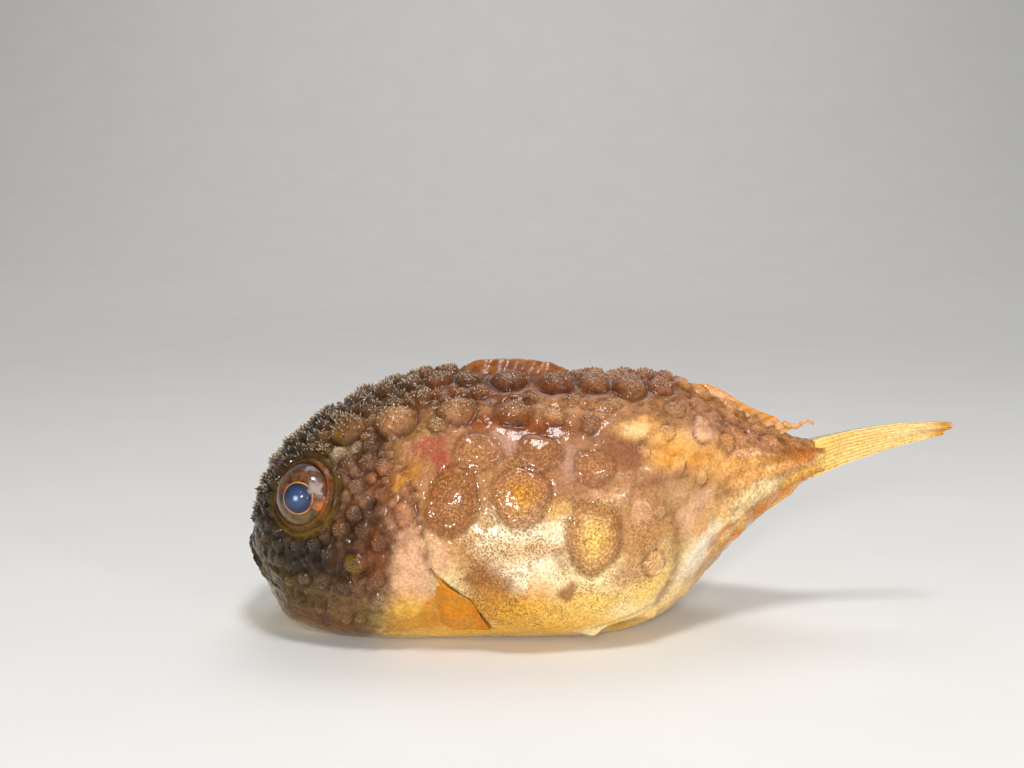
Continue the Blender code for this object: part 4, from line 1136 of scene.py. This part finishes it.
# Each fin's skin: its colours at the base, all over, light, dark and at the tip, the breadth of the
# streaks, how strong they are and how wet it is.
FIN_SKINS = {
    "first_dorsal": ("crest skin", "brick", "brick", "sienna", "umber", "sienna", 3.0, 0.35, 0.4),
    "second_dorsal": ("dorsal skin", "mauve", "honey", "blush", "amber", "amber"),
    "anal": ("anal skin", "amber", "gold", "apricot", "amber", "orange"),
    "caudal": ("caudal skin", "straw", "straw", "cream", "amber", "amber", 5.0),
    "pectoral": ("pectoral skin", "orange", "amber", "honey", "orange", "orange", 3.0, 0.6),
}


def from_to(first, last, height):
    """A line in the middle plane over the x from first to last, whose height a function gives."""

    def point(t):
        x = between(first, last, t)
        return x, 0.0, height(x)

    return point


def outline(edge):
    return lambda x: float(np.interp(x, [p[0] for p in edge], [p[1] for p in edge]))


def tail_ray(k):
    return lambda t: (between(TAIL_LOW[k][0], TAIL_HIGH[k][0], t**0.7), 0.0,
                      between(TAIL_LOW[k][1], TAIL_HIGH[k][1], t))


def make_fins(draw):
    crest_root = from_to(-8.0, -2.6, lambda x: back_height(x) - 0.2)
    soft_root = from_to(4.3, 10.1, lambda x: back_height(x) - 0.15)
    anal_root = from_to(5.9, 10.9, lambda x: belly_height(x) + 0.2)
    anal_edge = from_to(6.9, 11.9, lambda x: outline(ANAL_EDGE)(x) - 0.05)
    made = {
        "first_dorsal": fin("first_dorsal", crest_root, from_to(-7.8, -1.9, outline(CREST_EDGE)), 6,
                            lambda s: 2.2 - 1.9 * s**0.7, draw, ridge=0.07, fray=0.05),
        "second_dorsal": fin("second_dorsal", soft_root, from_to(4.7, 11.1, outline(SOFT_EDGE)), 11,
                             lambda s: 0.5 - 0.38 * s, draw, ridge=0.07, fray=0.03),
        "anal": fin("anal", anal_root, anal_edge, 10,
                    lambda s: 0.14 + 0.36 * (1 - s) + 1.1 * smooth(0.5, 0.0, s), draw, ridge=0.07),
        "caudal": fin("caudal", tail_ray(0), tail_ray(2), 9,
                      lambda s: 0.16 + 0.26 * (1 - s) + 0.85 * smooth(0.22, 0.0, s), draw,
                      tail_ray(1), ridge=0.1, fray=0.06, rows=80),
        "pectoral_left": make_pectoral("pectoral_left", LEFT),
        "pectoral_right": make_pectoral("pectoral_right", RIGHT),
        "second_dorsal_filament": make_filament(),
    }
    for fin_name, recipe in FIN_SKINS.items():
        finish = fin_finish(*recipe)
        for key in made:
            if key.startswith(fin_name):
                made[key].data.materials.append(finish)
    return made


def make_pectoral(name, side):
    """A pectoral fin folded back in its bed, its root under the skin of its fleshy base."""
    across, along = np.linspace(0, 1, 73)[:, None], np.linspace(0, 1, 40)[None, :]
    comb = np.abs(np.cos(across * 9 * math.pi))
    x = between(-9.75 - 0.3 * np.sin(math.pi * across), between(-7.25, -6.3, across), along)
    angle = between(between(-1, -38, across), between(-17, -37, across), along)
    lift = between(-0.55, 0.3, smooth(0.0, 0.5, along)) + 0.0 * across
    flat = [np.broadcast_to(v, comb.shape[:1] + along.shape[1:]).ravel() for v in (x, angle, lift)]
    sheet = flesh(flat[0], flat[1], side) + outward(flat[0], flat[1], side) * flat[2][:, None]
    sheet[:, 2] = np.maximum(sheet[:, 2], 0.16)
    half = (0.09 + 0.035 * comb**2) * (1 - 0.4 * along)
    return blade(name, sheet.reshape(73, 40, 3), half, comb, along, across)


def make_filament():
    """The second dorsal's last ray, free and curled at its tip."""
    path = np.array(((10.3, 11.28), (10.8, 11.13), (11.1, 11.09), (11.3, 11.16), (11.5, 11.32),
                     (11.7, 11.41), (11.9, 11.4), (12.05, 11.32), (12.16, 11.2)))
    fine = np.linspace(0, len(path) - 1, 50)
    spread = np.array([hump(fine[:, None] - k, 0.75)[:, 0] for k in range(len(path))]).T
    spread /= spread.sum(axis=1, keepdims=True)
    line = spread @ path
    radii = np.interp(fine, (0, 2, 4, 7, 8), (0.19, 0.16, 0.11, 0.085, 0.05))
    sides, points, faces = 12, [], []
    for k, (x, z) in enumerate(line):
        ahead = line[min(k + 1, len(line) - 1)] - line[max(k - 1, 0)]
        ahead /= np.linalg.norm(ahead)
        for s in range(sides):
            c, d = radii[k] * math.cos(s / sides * math.tau), radii[k] * math.sin(s / sides * math.tau)
            points.append((x - ahead[1] * c, d + 0.06 * fine[k] / 8, z + ahead[0] * c))
    for k in range(len(line) - 1):
        for s in range(sides):
            n = (s + 1) % sides
            low, high = k * sides, (k + 1) * sides
            faces.append((low + s, low + n, high + n, high + s))
    faces += [tuple(reversed(range(sides))), tuple(range((len(line) - 1) * sides, len(line) * sides))]
    made = new_object("dorsal_filament", points, faces)
    for key, value in (("along", 0.72), ("across", 0.9), ("ray", 0.8)):
        give_value(made.data, key, np.full(len(points), value))
    face_outwards(made.data)
    return made


def sucker_finish():
    cup = Finish("sucker flesh", Coat_Weight=0.8, Coat_Roughness=0.12,
                 Subsurface_Weight=0.25, Subsurface_Scale=0.0008)
    tone = cup.mix(cup.ramp(cup.clouds(1400, 5), 0.35, 0.65), linear("blush"), linear("cream"))
    gap, _ = cup.cells(5200)
    colour = cup.mix(cup.times(cup.ramp(gap, 0.26, 0.18), 0.5), tone, linear("rust"))
    roughness = cup.ramp(cup.clouds(5000, 3), 0.3, 0.7, 0.35, 0.55)
    return cup.done(Base_Color=colour, Roughness=roughness, Normal=cup.bump(gap, 0.00005, 0.7))


SUCKER_STEPS = (  # how far each ring is set in and how far it sinks, in metres
    (0.00022, 0.0),
    (0.00018, 0.00007),
    (0.00024, 0.0),
    (0.0002, 0.0003),
    (0.0004, 0.00008),
    (0.00045, -0.00012),
)


def make_sucker(finish):
    """The belly's sucker: a lobed oval rim round a cup with a raised middle."""
    low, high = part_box("sucker_disc")
    centre = (low + high) / 2
    select_none()
    bpy.ops.mesh.primitive_cylinder_add(vertices=48, radius=1.0, depth=2.0, end_fill_type="NGON")
    disc = bpy.context.active_object
    disc.name = "sucker"
    disc.data.transform(Matrix.Diagonal(((high - low) / 2).to_4d()))
    disc.data.transform(Matrix.Translation(centre))
    start_editing(disc, "FACE")
    pick(disc, "faces", lambda face: face.normal.z < -0.9)
    for inset, sink in SUCKER_STEPS:
        bpy.ops.mesh.inset(thickness=inset, depth=0.0)
        if sink:
            bpy.ops.transform.translate(value=(0, 0, sink))
    bpy.ops.object.mode_set(mode="OBJECT")
    for vertex in disc.data.vertices:
        offset = vertex.co - centre
        turn = math.atan2(offset.y, offset.x)
        out = offset.xy.length / (high.x - low.x) * 2
        lobe = 0.05 * math.cos(12 * turn) * (out > 0.55)
        vertex.co.x -= offset.x * max(lobe, 0.0)
        vertex.co.y -= offset.y * max(lobe, 0.0)
    rounded = disc.modifiers.new("rounded", "SUBSURF")
    rounded.levels = rounded.render_levels = 2
    bpy.ops.object.modifier_apply(modifier=rounded.name)
    make_smooth(disc.data)
    lift = min(v.co.z for v in disc.data.vertices)
    disc.data.transform(Matrix.Translation((0, 0, -lift)))
    disc.data.materials.append(finish)
    return disc


def make_floor():
    """A plain pale floor that curves up behind."""
    select_none()
    bpy.ops.mesh.primitive_plane_add(size=1.2, location=(0, 0.1, 0))
    floor = bpy.context.active_object
    floor.name = "studio_floor"
    settle(floor)
    start_editing(floor, "EDGE")
    pick(floor, "edges", lambda edge: all(v.co.y > 0.6 for v in edge.verts))
    bpy.ops.mesh.extrude_region_move(TRANSFORM_OT_translate={"value": (0, 0, 0.8)})
    pick(floor, "edges", lambda edge: all(v.co.y > 0.6 and v.co.z < 0.01 for v in edge.verts))
    bpy.ops.mesh.bevel(offset=0.3, segments=16, affect="EDGES")
    bpy.ops.object.mode_set(mode="OBJECT")
    make_smooth(floor.data)
    card = Finish("pale card", Roughness=0.8)
    tone = card.mix(card.clouds(60, 3), (0.76, 0.75, 0.73), (0.82, 0.81, 0.79))
    grain = card.bump(card.clouds(900, 3), 0.00002, 0.2)
    floor.data.materials.append(card.done(Base_Color=tone, Normal=grain))


# Lights: name, place, what it points at, size, power and colour.
LIGHTS = (
    ("key", (-0.026, -0.13, 0.046), (-0.003, 0, 0.006), 0.014, 0.08, (1.0, 0.98, 0.94)),
    ("top", (0.01, -0.05, 0.16), (0, 0, 0.008), 0.03, 0.12, (1, 1, 1)),
    ("fill", (0.09, -0.12, 0.04), (0, 0, 0.006), 0.06, 0.03, (1, 1, 1)),
    ("sparkle_left", (-0.045, -0.1, 0.085), (0, 0, 0.008), 0.0045, 0.006, (1, 1, 1)),
    ("sparkle_right", (0.085, -0.105, 0.045), (0.008, 0, 0.008), 0.006, 0.012, (1, 1, 1)),
    ("sparkle_low", (0.01, -0.12, 0.026), (0, 0, 0.008), 0.0045, 0.005, (1, 1, 1)),
    ("backdrop", (0, 0.36, 0.6), (0, 0.5, 0.0), 0.4, 1.5, (1, 1, 1)),
)
WORLD_LIGHT, WORLD_STRENGTH = (0.87, 0.87, 0.87, 1), 0.27
CAMERA_PLACE, CAMERA_DIP = (-0.0052, -0.0645, 0.022), 7.46  # metres, and degrees below level
CAMERA_LENS, CAMERA_SENSOR = 40, 36


def make_studio():
    for name, place, target, size, power, colour in LIGHTS:
        light = bpy.data.lights.new(name, "AREA")
        light.size, light.energy, light.color = size, power, colour
        obj = bpy.data.objects.new(name, light)
        obj.location = place
        obj.rotation_euler = (Vector(target) - Vector(place)).to_track_quat("-Z", "Y").to_euler()
        bpy.context.scene.collection.objects.link(obj)
    world = bpy.data.worlds.new("studio")
    world.use_nodes = True
    background = world.node_tree.nodes["Background"]
    background.inputs["Color"].default_value = WORLD_LIGHT
    background.inputs["Strength"].default_value = WORLD_STRENGTH
    bpy.context.scene.world = world
    bpy.context.scene.view_settings.view_transform = "Standard"


def make_camera():
    camera = bpy.data.cameras.new("camera")
    camera.lens, camera.sensor_width = CAMERA_LENS, CAMERA_SENSOR
    camera.clip_start = 0.001
    obj = bpy.data.objects.new("camera", camera)
    obj.location = CAMERA_PLACE
    obj.rotation_euler = (math.radians(90 - CAMERA_DIP), 0, 0)
    bpy.context.scene.collection.objects.link(obj)
    bpy.context.scene.camera = obj


def belongs(piece, slot, *nodes):
    """Hides the CAD nodes that a piece stands for and attaches it to the root body. The slot is not used.
    """
    if nodes:
        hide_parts(*nodes)
    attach(piece, "root")


def main():
    draw = random.Random(SEED)
    make_camera()
    make_studio()
    make_floor()

    skin = Skin()
    tubercles = all_tubercles(draw)
    shape_skin(skin, tubercles)
    paint_skin(skin)
    body = make_skin(skin)
    body.data.materials.append(wet_skin())
    belongs(body, "trunk_skin", "head", "trunk", "tail")

    spine = glassy_spinule()
    for coat in make_spinules(skin, tubercles, draw):
        coat.data.materials.append(spine)
        belongs(coat, "trunk_skin" if coat.name.startswith("body") else "head_skin")

    finish = eye_finish()
    belongs(make_eye("eyeball_left", LEFT, finish), "eye", "eye_left")
    belongs(make_eye("eyeball_right", RIGHT, finish), "eye", "eye_right")

    fins = make_fins(draw)
    for key in ("first_dorsal", "second_dorsal", "anal", "caudal"):
        belongs(fins[key], "fin", key + "_fin")
    belongs(fins["second_dorsal_filament"], "fin")
    for side in ("left", "right"):
        belongs(fins["pectoral_" + side], "fin", "pectoral_fin_" + side)
    belongs(make_sucker(sucker_finish()), "sucker", "sucker_disc")

    bpy.context.view_layer.update()


main()
